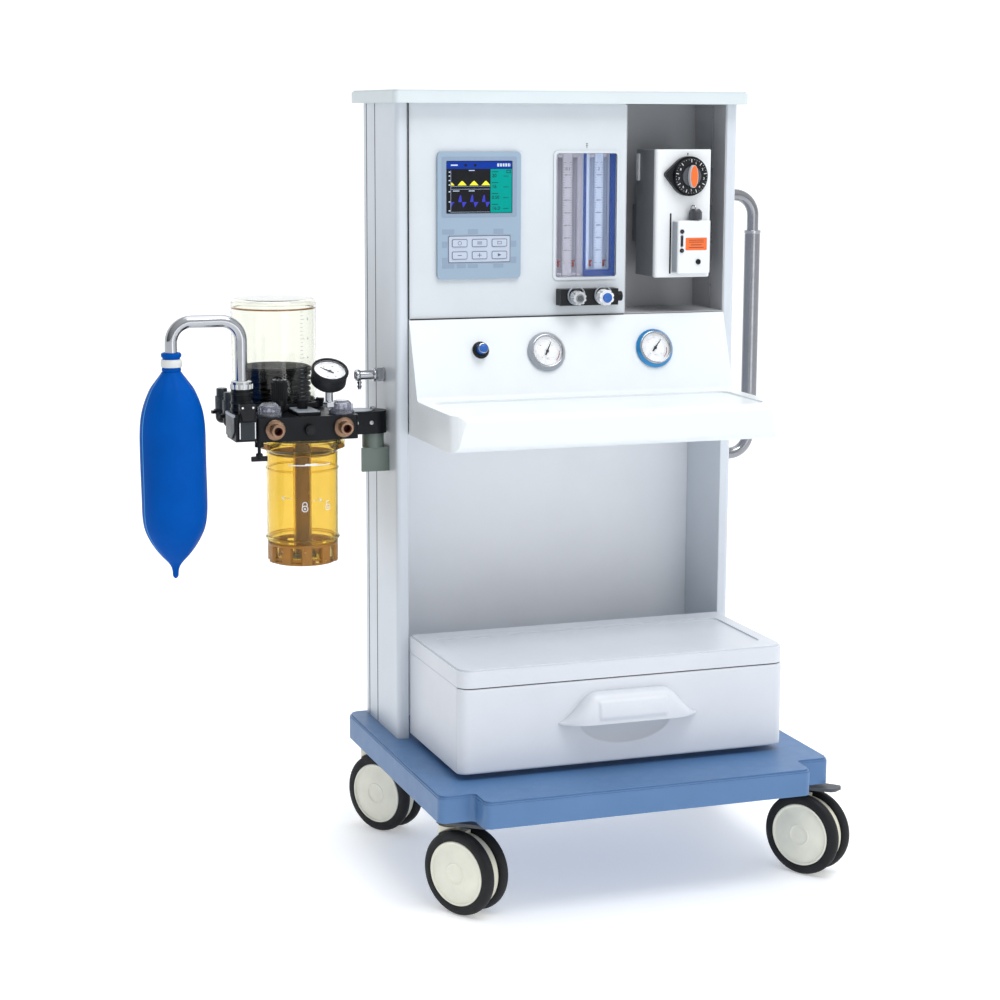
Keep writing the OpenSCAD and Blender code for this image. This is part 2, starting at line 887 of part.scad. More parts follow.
// Fluted control knob on its spindle, facing -Y
module fluted_knob(x, r, flutes, tint) {
  at_machine() color(tint)
    translate([x, -valve_block_d - gap, valve_z])
      rotate([90, 0, 0]) {
        difference() {
          cylinder(r = r, h = 20);
          for (i = [0:flutes - 1])
            rotate([0, 0, 360 * i / flutes])
              translate([r + 1.2, 0, 6])
                cylinder(r = 3, h = 20);
        }
        translate([0, 0, 20 - eps]) cylinder(r1 = r - 5, r2 = r - 7, h = 2);
        translate([0, 0, -10]) cylinder(r = 3.5, h = 11);
      }
}

module nitrous_knob() { fluted_knob(valve_xs[0], 13, 10, "white"); }

module oxygen_knob() { fluted_knob(valve_xs[1], 14.5, 8, "royalblue"); }

// ---- Vaporizer -----------------------------------------------------------------------------

module vaporizer_body() {
  x0 = vapor_x - vapor_w / 2;
  x1 = vapor_x + vapor_w / 2;
  at_machine() color("whitesmoke") {
    difference() {
      union() {
        translate([0, 0, vapor_z])
          linear_extrude(vapor_h)
            polygon(rounded(
              [[x0, vapor_back - 30], [x0, vapor_front], [x1, vapor_front], [x1, vapor_back - 30]],
              [6, 9, 9, 6]));
        block([x0 + 20, vapor_back - 31, vapor_z + 60], [x1 - 20, back_y - 14.2, vapor_z + 130]);
        filler_block();
      }
      forward_cylinder(dial_pos[0], vapor_front + 14, dial_pos[1], 6 + run_fit, 20);
      block([x0 + 29, vapor_front - 1, vapor_z + 8], [x0 + 32, vapor_front + 2, vapor_z + 118]);
      block([sight_x - 3, vapor_front - 27, vapor_z + 57], [sight_x + 3, vapor_front - 20, vapor_z + 80]);
      translate([cap_pos[0], cap_pos[1], cap_z - 20]) cylinder(r = 6 + run_fit, h = 30);
      block([x0 + 2 * wall, vapor_front + 16, vapor_z + 2 * wall],
            [x1 - 2 * wall, vapor_back - 30 - 2 * wall, vapor_z + vapor_h - 2 * wall]);
    }
    block([x0 - 10, 58, vapor_z + 176], [x0 + 1, 70, vapor_z + 218]);
  }
}

// Filler housing on the front: a block with a rounded nose and a sight glass groove
module filler_block() {
  translate([0, 0, vapor_z + 8])
    linear_extrude(98)
      polygon(rounded([[vapor_x - 21, vapor_front + 1], [vapor_x - 21, vapor_front - 24],
                       [vapor_x + 50, vapor_front - 24], [vapor_x + 50, vapor_front + 1]], [0, 4, 14, 0]));
}

module vaporizer_dial() {
  at_machine() color("dimgray")
    translate([dial_pos[0], vapor_front - gap, dial_pos[1]])
      rotate([90, 0, 0]) {
        cylinder(r = dial_r, h = 8);
        translate([0, 0, 8 - eps]) cylinder(r1 = dial_r, r2 = dial_r - 4, h = dial_t - 10);
        translate([0, 0, dial_t - 2 - 2 * eps]) cylinder(r = dial_r - 13, h = 5);
        translate([0, 0, -13]) cylinder(r = 6, h = 14);
        translate([-4, -19, dial_t]) cube([8, 38, 12]);
      }
}

module filler_cap() {
  r = 12;
  at_machine() color("gray")
    translate([cap_pos[0], cap_pos[1], cap_z + 1.2]) {
      difference() {
        cylinder(r = r, h = 17);
        for (i = [0:11])
          rotate([0, 0, 30 * i]) translate([r + 1, 0, -1]) cylinder(r = 2, h = 14);
      }
      translate([0, 0, 17 - eps]) cylinder(r1 = r, r2 = r - 4, h = 3);
      translate([0, 0, -15]) cylinder(r = 6, h = 16);
    }
}

// ---- Support arm ---------------------------------------------------------------------------

module arm_bracket() {
  at_machine() color("darkseagreen") {
    translate([pivot[0], pivot[1], post_top - 27])
      cylinder(r = post_r, h = 27);
    translate([pivot[0], pivot[1], post_top - eps])
      cylinder(r = 9, h = arm_h - 8);
    block([pivot[0] - 26, pivot[1] - 18, post_top - 70], [-col_x - 6, pivot[1] - 12, post_top - 26]);
    block([-col_x - 6 - eps, pivot[1] - 18, post_top - 70], [-col_x, 196, post_top - 26]);
    translate([pivot[0], pivot[1], post_top - 34]) cylinder(r1 = 12, r2 = post_r, h = 8);
  }
}

module support_arm() {
  r = arm_d / 2;
  y = pivot[1];
  at_machine() color("#20242a")
    difference() {
      union() {
        block([block_right, y - r, arm_z], [pivot[0], y + r, arm_z + arm_h]);
        translate([pivot[0], y, arm_z]) cylinder(r = r, h = arm_h);
      }
      translate([pivot[0], y, arm_z - 1]) cylinder(r = 9 + run_fit, h = arm_h - 7);
    }
}

// ---- Breathing block -----------------------------------------------------------------------

module absorber_block() {
  at_machine() {
    color("#20262c")
      difference() {
        union() {
          translate([0, 0, block_z])
            linear_extrude(block_h)
              polygon(rounded(
                [[block_left, block_front], [block_right, block_front], [block_right, 150],
                 [block_right - 40, block_back], [block_left + 20, block_back],
                 [block_left, block_back - 30]],
                [6, 6, 20, 20, 16, 16]));
          arm_housing();
          dome_seat_ring();
          top_cap();
          side_connectors();
          thumb_screw();
        }
        translate([leg_pos[0], leg_pos[1], socket_top - 34]) cylinder(r = arm_tube_d / 2 + run_fit, h = 40);
        for (x = port_xs)
          forward_cylinder(x, block_front + 22, port_z, port_r - 2, 30);
        translate([canister_pos[0], canister_pos[1], block_z - 1]) cylinder(r = 52, h = 8);
        translate([apl_pos[0], apl_pos[1], block_top - 12]) cylinder(r = 5 + run_fit, h = 20);
        forward_cylinder(lever_pos[0], block_front + 10, lever_pos[1], 4 + run_fit, 20);
        translate([airway_pos[0], airway_pos[1], block_top - 8]) cylinder(r = 4, h = 20);
      }
  }
}

// Housing of the bag arm beside the block, with the arm's socket on top
module arm_housing() {
  x0 = leg_pos[0] - housing_w / 2;
  block([x0, block_front + 4, block_z + 2], [block_left + eps, 62, block_top + 8]);
  block([x0 + 6, block_front, block_z + 4], [block_left - 4, block_front + 5, lever_pos[1] + 14]);
  translate([leg_pos[0], leg_pos[1], block_top + 8 - eps])
    cylinder(r = socket_r, h = socket_top - block_top - 8);
}

module dome_seat_ring() {
  translate([dome_pos[0], dome_pos[1], block_top - eps])
    cylinder(r = dome_d / 2 + 4, h = dome_seat);
  translate([dome_pos[0], dome_pos[1], block_top])
    cylinder(r = bellows_r - 2, h = dome_seat + 4);
}

// Level cap between the valve domes, with a round adjuster on it
module top_cap() {
  translate([0, 0, block_top - eps])
    linear_extrude(5)
      polygon(rounded([[-519, 2], [-474, 2], [-478, 72], [-519, 72]], [4, 4, 8, 8]));
  translate([-498, 46, block_top + 4]) cylinder(r = 9, h = 16);
}

// Two hose elbows on the left side of the block
module side_connectors() {
  for (y = [112, 176]) {
    cross_cylinder(block_left - 22, block_left + eps, y, block_z + 24, 12);
    translate([block_left - 22, y, block_z + 24]) cylinder(r = 12, h = 26);
    translate([block_left - 22, y, block_z + 24]) sphere(r = 12);
    translate([block_left - 22, y, block_z + 50 - eps]) cylinder(r = 9, h = 14);
  }
}

// Canister lock screw hanging below the block's front left corner
module thumb_screw() {
  translate([block_left + 7, 6, block_z - 10]) cylinder(r = 8, h = 12);
  translate([block_left + 7, 6, block_z - 24]) cylinder(r = 3, h = 16);
  translate([block_left + 7, 6, block_z - 32]) cylinder(r = 5, h = 9);
}

module bellows_dome() {
  r = dome_d / 2;
  at_machine() color("lightyellow", 0.5)
    translate([dome_pos[0], dome_pos[1], dome_z])
      rotate_extrude()
        polygon(concat(
          [[r + 3, 0], [r + 3, 6], [r, 7]],
          corner([r, 0], [r, dome_h], [0, dome_h], 9),
          [[0, dome_h], [0, dome_h - dome_wall]],
          corner([0, dome_h - dome_wall], [r - dome_wall, dome_h - dome_wall], [r - dome_wall, 0], 7),
          [[r - dome_wall, 0]]));
}

// Collapsed rubber bellows: a stack of rounded folds
module bellows_folds() {
  pitch = bellows_h / fold_count;
  at_machine() color("#222222")
    translate([dome_pos[0], dome_pos[1], dome_z + 4.2])
      rotate_extrude()
        polygon(concat(
          [[bellows_r - 26, 0]],
          [for (i = [0:fold_count - 1]) each [
            [bellows_r - 8, pitch * i],
            [bellows_r - 1, pitch * (i + 0.3)],
            [bellows_r - 1, pitch * (i + 0.7)],
            [bellows_r - 8, pitch * (i + 1) - 0.4]
          ]],
          [[bellows_r - 26, bellows_h - 0.4]]));
}

module bellows_disc() {
  at_machine() color("#222222")
    translate([dome_pos[0], dome_pos[1], dome_z + 4.2 + bellows_h]) {
      cylinder(r = bellows_r, h = disc_t - 2);
      cylinder(r = bellows_r - 4, h = disc_t);
      translate([0, 0, -14]) cylinder(r = 20, h = 15);
    }
}

// ---- Bag arm and bag -----------------------------------------------------------------------

module bag_arm() {
  r = arm_tube_d / 2;
  x0 = leg_pos[0] - arm_span;
  at_machine() color("silver")
    translate([0, leg_pos[1], 0]) {
      translate([leg_pos[0], 0, socket_top - 30])
        cylinder(r = r, h = arm_top - arm_bend - socket_top + 30);
      translate([leg_pos[0] - arm_bend, 0, arm_top - arm_bend]) elbow(r, arm_bend);
      cross_cylinder(x0 + arm_bend, leg_pos[0] - arm_bend, 0, arm_top, r);
      translate([x0 + arm_bend, 0, arm_top - arm_bend]) mirror([1, 0, 0]) elbow(r, arm_bend);
      translate([x0, 0, bag_neck_z]) cylinder(r = r, h = arm_top - arm_bend - bag_neck_z);
      translate([leg_pos[0], 0, socket_top + 0.3]) cylinder(r = 19, h = 13);
      translate([x0, 0, bag_neck_z - 14]) cylinder(r = r - 3, h = 15);
    }
}

// Breathing bag: egg-shaped ends on a straight middle, a neck with a bead and a tail; sealed and empty
module breathing_bag() {
  neck_r = 16;
  tail_r = 5;
  at_machine() color("royalblue")
    translate([leg_pos[0] - arm_span, leg_pos[1], 0])
      difference() {
        rotate_extrude()
          polygon(concat(
            [[0, bag_tip_z], [tail_r - 2, bag_tip_z], [tail_r, bag_tip_z + 3]],
            bag_side(0, tail_r, neck_r),
            [[neck_r, bag_shoulder_z], [neck_r - 1, bag_shoulder_z + 2], [neck_r - 1, bag_shoulder_z + 24],
             [neck_r + 2, bag_shoulder_z + 26], [neck_r + 2, bag_shoulder_z + 31],
             [arm_tube_d / 2 + 0.4, bag_shoulder_z + 31], [arm_tube_d / 2 + 0.4, bag_neck_z - 0.4],
             [arm_tube_d / 2 - 2.6, bag_neck_z - 0.4], [arm_tube_d / 2 - 2.6, bag_neck_z - 14.4],
             [0, bag_neck_z - 14.4]]));
        rotate_extrude()
          polygon(concat([[0, bag_tip_z + 20]], bag_side(2, 0, 2), [[0, bag_shoulder_z - 6]]));
      }
}

// Half outline of the bag from tail to shoulder, drawn in by inset
function bag_side(inset, low_r, high_r) =
  let (r = bag_d / 2 - inset, toe = 98, shoulder = 126, steps = 10)
  concat(
    [for (i = [0:steps]) let (s = 0.03 + 0.97 * i / steps)
      [max(low_r, r * (1 - pow(1 - s, 1.75))), bag_tip_z + 14 + inset * 2 + (toe - inset * 2) * s]],
    [for (i = [0:steps]) let (s = 1 - 0.96 * i / steps)
      [max(high_r, r * sqrt(1 - pow(1 - s, 2))), bag_shoulder_z - inset * 2 - (shoulder - inset * 2) * s]]);

// ---- Canister ------------------------------------------------------------------------------

module canister_seal() {
  at_machine() color("#333333")
    translate([canister_pos[0], canister_pos[1], canister_top - 5])
      ring(seal_r - 3, seal_r + 3, 6);
}

module canister() {
  r = canister_d / 2;
  t = 3;
  z1 = canister_top;
  z0 = z1 - canister_h;
  at_machine() color("goldenrod", 0.7)
    translate([canister_pos[0], canister_pos[1], z0]) {
      difference() {
        union() {
          translate([0, 0, canister_cap_h - 4]) cylinder(r = r, h = canister_h - canister_cap_h + 3);
          translate([0, 0, canister_h - collar_h]) cylinder(r = collar_r, h = collar_h - 8);
          translate([0, 0, canister_h - 8 - eps]) cylinder(r = collar_r - 4, h = 8);
          translate([0, 0, canister_h - collar_h - 8]) cylinder(r1 = r, r2 = collar_r - 6, h = 8 + eps);
          cylinder(r1 = r - 8, r2 = r - 3, h = canister_cap_h - 3);
          for (i = [0:7])
            rotate([0, 0, 45 * i]) translate([r - 13, 0, 4]) cylinder(r = 11, h = canister_cap_h - 12);
        }
        translate([0, 0, 8]) cylinder(r = r - t - 6, h = canister_cap_h);
        translate([0, 0, canister_cap_h - 1]) cylinder(r = r - t, h = canister_h);
        translate([0, 0, canister_h - 5.2]) ring(seal_r - 3.3, seal_r + 3.3, 8);
      }
      ring(14, 17, canister_h - 12);
      cylinder(r = 20, h = 9);
    }
}

// ---- Valves, gauge and ports ---------------------------------------------------------------

module airway_gauge() {
  stem_h = airway_z - block_top - 22;
  at_machine() {
    color("lightgray") translate([airway_pos[0], airway_pos[1], block_top]) {
      cylinder(r = 9, h = 14);
      translate([0, 0, -7]) cylinder(r = 3.9, h = 8);
      translate([0, 0, 14 - eps]) cylinder(r = 7, h = stem_h);
    }
    color("#22262a") at_airway_gauge() {
      difference() {
        union() {
          translate([0, 0, -13]) cylinder(r = airway_r - 1, h = 22);
          translate([0, 0, 8]) ring(airway_r - 5, airway_r, 5);
          translate([0, 0, -20]) cylinder(r1 = airway_r - 10, r2 = airway_r - 1, h = 7 + eps);
        }
        translate([0, 0, 4]) cylinder(r = 2 + run_fit, h = 10);
      }
      translate([0, 0, 11.6]) cylinder(r = airway_r - 4.8, h = 1.2);
    }
  }
}

// Places children on the centre of the tilted airway gauge, with their +Z out of its face
module at_airway_gauge() {
  translate([airway_pos[0], airway_pos[1], airway_z])
    rotate([airway_tilt, 0, 0])
      children();
}

module airway_gauge_needle() {
  at_machine() color("black")
    at_airway_gauge() translate([0, 0, 9.5]) needle(20, 8, 140);
}

module breathing_ports() {
  at_machine() color("sienna")
    for (x = port_xs)
      translate([x, block_front - port_len, port_z])
        rotate([-90, 0, 0])
          difference() {
            union() {
              cylinder(r = port_r, h = port_len);
              translate([0, 0, port_len - 6]) cylinder(r = 16, h = 6);
              translate([0, 0, port_len - 1]) cylinder(r = port_r - 2.1, h = 21);
            }
            translate([0, 0, -1]) cylinder(r = port_bore_r, h = port_len + 30);
          }
}

module valve_domes() {
  r = valve_dome_r;
  at_machine() color("lavender", 0.6)
    for (x = valve_dome_xs)
      translate([x, valve_dome_y, block_top]) {
        ring(r - 4, r, 6);
        translate([0, 0, 6 - eps]) ring(r - 4, r - 2, 12);
        translate([0, 0, 18 - 2 * eps]) cylinder(r1 = r - 2, r2 = r - 8, h = 5);
        cylinder(r = r - 3, h = 2);
        cylinder(r = r - 10, h = 5);
        translate([0, 0, 5 - eps]) cylinder(r = r - 7, h = 1);
      }
}

module pressure_limit_knob() {
  r = 14;
  at_machine() color("#222222")
    translate([apl_pos[0], apl_pos[1], block_top + gap]) {
      difference() {
        cylinder(r = r, h = 56);
        for (i = [0:13])
          rotate([0, 0, 360 * i / 14]) translate([r + 1, 0, 22]) cylinder(r = 2, h = 40);
        translate([0, 0, -1]) ring(11, r + 1, 14);
      }
      translate([0, 0, 56 - eps]) cylinder(r1 = r, r2 = r - 3, h = 3);
      translate([0, 0, -10]) cylinder(r = 5, h = 11);
    }
}

// Selector between bag and ventilator: a tapered plate that turns on a pin
module bag_vent_lever() {
  y = block_front - gap - lever_t;
  at_machine() color("#3a4046")
    translate([lever_pos[0], y + lever_t, lever_pos[1]])
      rotate([90, 0, 0]) {
        linear_extrude(lever_t)
          polygon(rounded([[-9, -16], [9, -16], [16, 14], [-16, 14]], [4, 4, 3, 3]));
        translate([0, 0, -9]) cylinder(r = 4, h = 10);
        for (x = [-3.2, 3.2])
          translate([x, 6, lever_t - eps]) cylinder(r = 1.8, h = 1);
      }
}

// ---- Fittings ------------------------------------------------------------------------------

module gas_fittings() {
  at_machine() color("silver") {
    outlet();
    for (x = rear_inlet_xs)
      translate([x, back_y + panel_t, rear_inlet_z])
        rotate([-90, 0, 0]) {
          cylinder(r = 13, h = 6, $fn = 6);
          translate([0, 0, -12]) cylinder(r = 9, h = 30);
          translate([0, 0, 18 - eps]) cylinder(r = 6, h = 12);
          for (z = [22, 27])
            translate([0, 0, z]) cylinder(r1 = 7.5, r2 = 6, h = 4);
        }
  }
}

// Fresh-gas outlet on the left column: a hex nut, a barrel and a hose barb that points down
module outlet() {
  y = outlet_pos[0];
  z = outlet_pos[1];
  cross_cylinder(-col_x - 4, -col_x, y, z, 13);
  translate([-col_x - 14, y, z]) rotate([0, 90, 0]) cylinder(r = 12.5, h = 10 + eps, $fn = 6);
  cross_cylinder(-col_x - 54, -col_x - 13, y, z, 8.5);
  translate([-col_x - 47, y, z - 26]) cylinder(r = 3, h = 22);
  translate([-col_x - 47, y, z - 24]) cylinder(r1 = 3, r2 = 5, h = 5);
  translate([-col_x - 47, y, z - 17]) cylinder(r1 = 3, r2 = 5, h = 5);
}

module ventilator_module() {
  at_machine() color("lightslategray") {
    difference() {
      block([-276, 60, 1020], [-60, back_y, 1180]);
      block([-274, 62, 1022], [-62, back_y - 7, 1178]);
    }
    difference() {
      block([inlet_x - 45, back_y - eps, inlet_z - 25], [inlet_x + 45, back_y + 10, inlet_z + 25]);
      block([inlet_x - 40, back_y - 4, inlet_z - 12], [inlet_x - 8, back_y + 11, inlet_z + 12]);
      block([inlet_x + 14, back_y - 2, inlet_z - 13], [inlet_x + 38, back_y + 11, inlet_z + 13]);
      cross_cylinder(inlet_x + 10, inlet_x + 42, back_y + 6, inlet_z, 1.5 + run_fit);
    }
    for (z = [-7, 0, 7])
      block([inlet_x - 26 + abs(z) / 2, back_y - 5, inlet_z + z - 1],
            [inlet_x - 20 + abs(z) / 2, back_y + 6, inlet_z + z + 1]);
  }
}

module power_switch() {
  at_machine() color("#202020") {
    translate([inlet_x + 26, back_y + 6, inlet_z])
      rotate([90, 0, 90])
        linear_extrude(22, center = true)
          polygon([[-3, -9.5], [2, -11], [4.6, -11], [3, 0], [7, 11], [4, 11], [-3, 9.5]]);
    cross_cylinder(inlet_x + 26 - 14, inlet_x + 26 + 14, back_y + 6, inlet_z, 1.5);
  }
}

// Cross-head screws: on the back panel, the handle's flanges and the vaporizer's filler
module screws() {
  at_machine() color("silver") {
    for (x = [-inner_x + 12, 0, inner_x - 12], z = [base_top + 40, 520, 800, 1160, cover_z - 20])
      translate([x, back_y + panel_t, z]) rotate([-90, 0, 0]) screw_head();
    for (z = [handle_top, handle_bottom], y = [-15, 15])
      translate([col_x + 6, handle_y + y, z]) rotate([0, 90, 0]) screw_head();
    for (z = [vapor_z + 51, vapor_z + 86])
      translate([sight_x, vapor_front - 24, z]) rotate([90, 0, 0]) screw_head();
  }
}

module screw_head() {
  difference() {
    cylinder(r1 = 3.5, r2 = 2.5, h = 1.8);
    for (a = [0, 90])
      rotate([0, 0, a]) translate([-2, -0.4, 0.8]) cube([4, 0.8, 2]);
  }
}

// ---- Nodes ---------------------------------------------------------------------------------

base_tray();
left_column();
right_column();
top_cover();
back_panel();
front_panel();
vaporizer_bay();
console();
storage_cabinet();
storage_lid();
drawer_front();
drawer_tray();
side_handle();
caster_yoke(-1, stem_front_y);  // caster_yoke_front_left
caster_yoke(1, stem_front_y);  // caster_yoke_front_right
caster_yoke(-1, stem_rear_y);  // caster_yoke_rear_left
caster_yoke(1, stem_rear_y);  // caster_yoke_rear_right
caster_wheels(-1, stem_front_y);  // caster_wheels_front_left
caster_wheels(1, stem_front_y);  // caster_wheels_front_right
caster_wheels(-1, stem_rear_y);  // caster_wheels_rear_left
caster_wheels(1, stem_rear_y);  // caster_wheels_rear_right
brake_pedal(-1);  // brake_pedal_left
brake_pedal(1);  // brake_pedal_right
display_bezel();
display_screen();
keypad();
flow_window();
flow_tubes();
floats(0);  // nitrous_floats
floats(2);  // oxygen_floats
flow_valve_block();
nitrous_knob();
oxygen_knob();
vaporizer_body();
vaporizer_dial();
filler_cap();
panel_gauges();
air_gauge_needle();
oxygen_gauge_needle();
flush_button();
arm_bracket();
support_arm();
absorber_block();
bellows_dome();
bellows_folds();
bellows_disc();
bag_arm();
breathing_bag();
canister();
canister_seal();
airway_gauge();
airway_gauge_needle();
breathing_ports();
valve_domes();
pressure_limit_knob();
bag_vent_lever();
gas_fittings();
ventilator_module();
power_switch();
screws();
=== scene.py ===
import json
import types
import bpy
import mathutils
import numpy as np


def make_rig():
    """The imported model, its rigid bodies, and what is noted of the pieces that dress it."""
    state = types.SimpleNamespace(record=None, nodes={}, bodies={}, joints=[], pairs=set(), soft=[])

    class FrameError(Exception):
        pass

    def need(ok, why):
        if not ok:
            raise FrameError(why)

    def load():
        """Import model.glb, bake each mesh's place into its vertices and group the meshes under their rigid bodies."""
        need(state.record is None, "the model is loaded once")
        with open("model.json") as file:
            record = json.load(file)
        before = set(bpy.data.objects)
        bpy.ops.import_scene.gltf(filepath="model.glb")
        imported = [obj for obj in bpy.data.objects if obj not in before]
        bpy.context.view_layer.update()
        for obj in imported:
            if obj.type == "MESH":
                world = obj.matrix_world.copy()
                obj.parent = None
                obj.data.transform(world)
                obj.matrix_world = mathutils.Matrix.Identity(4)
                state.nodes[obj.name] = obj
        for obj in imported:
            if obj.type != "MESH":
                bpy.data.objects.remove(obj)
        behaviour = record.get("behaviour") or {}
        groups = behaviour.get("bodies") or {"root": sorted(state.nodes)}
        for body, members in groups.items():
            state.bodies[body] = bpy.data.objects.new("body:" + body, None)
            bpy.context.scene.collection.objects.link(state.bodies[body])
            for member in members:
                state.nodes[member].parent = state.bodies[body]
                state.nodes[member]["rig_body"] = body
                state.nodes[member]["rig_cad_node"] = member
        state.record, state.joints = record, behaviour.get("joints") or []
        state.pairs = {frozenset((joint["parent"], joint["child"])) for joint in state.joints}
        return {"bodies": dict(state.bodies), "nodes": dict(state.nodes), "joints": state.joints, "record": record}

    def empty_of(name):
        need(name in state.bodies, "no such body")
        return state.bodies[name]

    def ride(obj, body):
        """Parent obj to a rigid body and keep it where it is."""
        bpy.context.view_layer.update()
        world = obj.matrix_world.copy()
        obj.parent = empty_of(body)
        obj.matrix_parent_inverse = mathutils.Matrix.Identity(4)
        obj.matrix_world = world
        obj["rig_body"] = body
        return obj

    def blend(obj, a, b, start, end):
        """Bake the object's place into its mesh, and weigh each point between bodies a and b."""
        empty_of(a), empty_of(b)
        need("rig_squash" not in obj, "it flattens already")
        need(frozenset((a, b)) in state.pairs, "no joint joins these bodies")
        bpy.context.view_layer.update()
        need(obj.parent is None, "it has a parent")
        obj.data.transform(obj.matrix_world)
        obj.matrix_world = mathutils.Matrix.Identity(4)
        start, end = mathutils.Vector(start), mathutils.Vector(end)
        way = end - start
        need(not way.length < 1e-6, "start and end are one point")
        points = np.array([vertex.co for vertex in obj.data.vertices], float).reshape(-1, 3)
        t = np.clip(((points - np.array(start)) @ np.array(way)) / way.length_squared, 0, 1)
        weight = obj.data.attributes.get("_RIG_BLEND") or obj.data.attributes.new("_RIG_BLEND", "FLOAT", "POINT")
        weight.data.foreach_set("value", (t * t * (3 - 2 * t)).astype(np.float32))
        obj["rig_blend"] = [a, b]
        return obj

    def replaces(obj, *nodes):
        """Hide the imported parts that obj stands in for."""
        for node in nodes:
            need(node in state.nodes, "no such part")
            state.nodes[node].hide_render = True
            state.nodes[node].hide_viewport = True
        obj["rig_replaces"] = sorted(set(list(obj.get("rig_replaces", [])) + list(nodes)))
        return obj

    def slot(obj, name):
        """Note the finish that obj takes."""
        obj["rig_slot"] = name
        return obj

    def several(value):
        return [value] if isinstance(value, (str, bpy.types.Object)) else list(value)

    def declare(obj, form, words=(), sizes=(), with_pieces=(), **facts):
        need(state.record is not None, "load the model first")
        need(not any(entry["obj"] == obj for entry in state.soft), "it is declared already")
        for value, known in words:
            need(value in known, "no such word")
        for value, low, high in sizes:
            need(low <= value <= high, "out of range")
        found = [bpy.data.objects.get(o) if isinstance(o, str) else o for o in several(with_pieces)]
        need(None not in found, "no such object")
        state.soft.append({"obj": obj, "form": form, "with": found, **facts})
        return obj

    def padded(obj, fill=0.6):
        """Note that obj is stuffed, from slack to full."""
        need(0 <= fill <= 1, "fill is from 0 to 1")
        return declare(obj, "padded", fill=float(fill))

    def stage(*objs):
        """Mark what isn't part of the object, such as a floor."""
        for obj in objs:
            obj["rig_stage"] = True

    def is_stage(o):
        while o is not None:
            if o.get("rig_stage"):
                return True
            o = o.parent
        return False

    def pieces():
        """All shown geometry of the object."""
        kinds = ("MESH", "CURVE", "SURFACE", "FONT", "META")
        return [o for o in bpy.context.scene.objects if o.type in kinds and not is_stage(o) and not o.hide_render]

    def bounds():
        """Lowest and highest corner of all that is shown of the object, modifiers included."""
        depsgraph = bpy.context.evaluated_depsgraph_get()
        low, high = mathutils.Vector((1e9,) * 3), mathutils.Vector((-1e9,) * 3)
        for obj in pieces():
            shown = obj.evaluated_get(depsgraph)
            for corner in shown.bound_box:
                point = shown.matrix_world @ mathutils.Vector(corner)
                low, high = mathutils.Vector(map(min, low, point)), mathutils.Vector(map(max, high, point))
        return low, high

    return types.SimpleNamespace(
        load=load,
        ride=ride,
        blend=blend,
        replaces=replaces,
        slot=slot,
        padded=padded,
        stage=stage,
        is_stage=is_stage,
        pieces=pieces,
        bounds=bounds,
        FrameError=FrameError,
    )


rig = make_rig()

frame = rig.load()
cad_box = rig.bounds()

import json
import math
import bpy
import bmesh
from mathutils import Matrix, Vector

nodes = frame["nodes"]
scene = bpy.context.scene

# ---- Placing -------------------------------------------------------------------------------
# The machine's own frame is in mm: X = 0 on its centre plane, Y = 0 on the column fronts, Z = 0 on the floor.


def mm(x, y, z):
    return Vector(((x + 182) / 1000, (y + 82) / 1000, z / 1000))


def axes(x, y, z, u=(1, 0, 0), w=(0, 0, 1)):
    """Matrix from local millimetres at (x, y, z), with local x along u and local z along w, to row metres."""
    w = Vector(w).normalized()
    u = Vector(u)
    u = (u - w * w.dot(u)).normalized()
    return Matrix.Translation(mm(x, y, z)) @ Matrix((u, w.cross(u), w)).transposed().to_4x4() @ Matrix.Scale(0.001, 4)


WORLD = axes(0, 0, 0)
SLOPE = math.atan(49 / 142)


def front(x, z, y=0):
    return axes(x, y, z, (1, 0, 0), (0, -1, 0))


def slope(x, z):
    return axes(x, -3 - (1001 - z) * 49 / 142, z, (1, 0, 0), (0, -math.cos(SLOPE), math.sin(SLOPE)))


# ---- Shapes: each gives (points, faces) in local millimetres ---------------------------------


def rev(profile, n=64, turn=360):
    """Turns a (radius, z) outline about local z."""
    full = turn == 360
    rows = n if full else n + 1
    pts = []
    for i in range(rows):
        a = math.radians(turn * i / n)
        pts += [(r * math.cos(a), r * math.sin(a), z) for r, z in profile]
    k = len(profile)
    faces = []
    for i in range(n):
        j = (i + 1) % rows
        for m in range(k - 1):
            faces.append((i * k + m, j * k + m, j * k + m + 1, i * k + m + 1))
    return pts, faces


def prism(outline, z0, z1):
    n = len(outline)
    pts = [(x, y, z0) for x, y in outline] + [(x, y, z1) for x, y in outline]
    faces = [tuple(range(n - 1, -1, -1)), tuple(range(n, 2 * n))]
    faces += [(i, (i + 1) % n, n + (i + 1) % n, n + i) for i in range(n)]
    return pts, faces


def box(x0, x1, y0, y1, z0, z1):
    return prism([(x0, y0), (x1, y0), (x1, y1), (x0, y1)], z0, z1)


def rounded(points, r, steps=6):
    """Outline with round corners; r is one radius or one per corner."""
    out = []
    n = len(points)
    for i, p in enumerate(points):
        radius = r[i] if isinstance(r, (list, tuple)) else r
        p, a, b = Vector(p), Vector(points[i - 1]), Vector(points[(i + 1) % n])
        u, v = (a - p).normalized(), (b - p).normalized()
        if radius <= 0:
            out.append(tuple(p))
            continue
        half = u.angle(v) / 2
        c = p + (u + v).normalized() * radius / math.sin(half)
        s, e = p + u * radius / math.tan(half) - c, p + v * radius / math.tan(half) - c
        start = math.atan2(s.y, s.x)
        turn = math.atan2(s.x * e.y - s.y * e.x, s.dot(e))
        out += [(c.x + radius * math.cos(start + turn * k / steps), c.y + radius * math.sin(start + turn * k / steps)) for k in range(steps + 1)]
    return out


def rect(x0, x1, y0, y1, r=0):
    pts = [(x0, y0), (x1, y0), (x1, y1), (x0, y1)]
    return rounded(pts, r) if r else pts


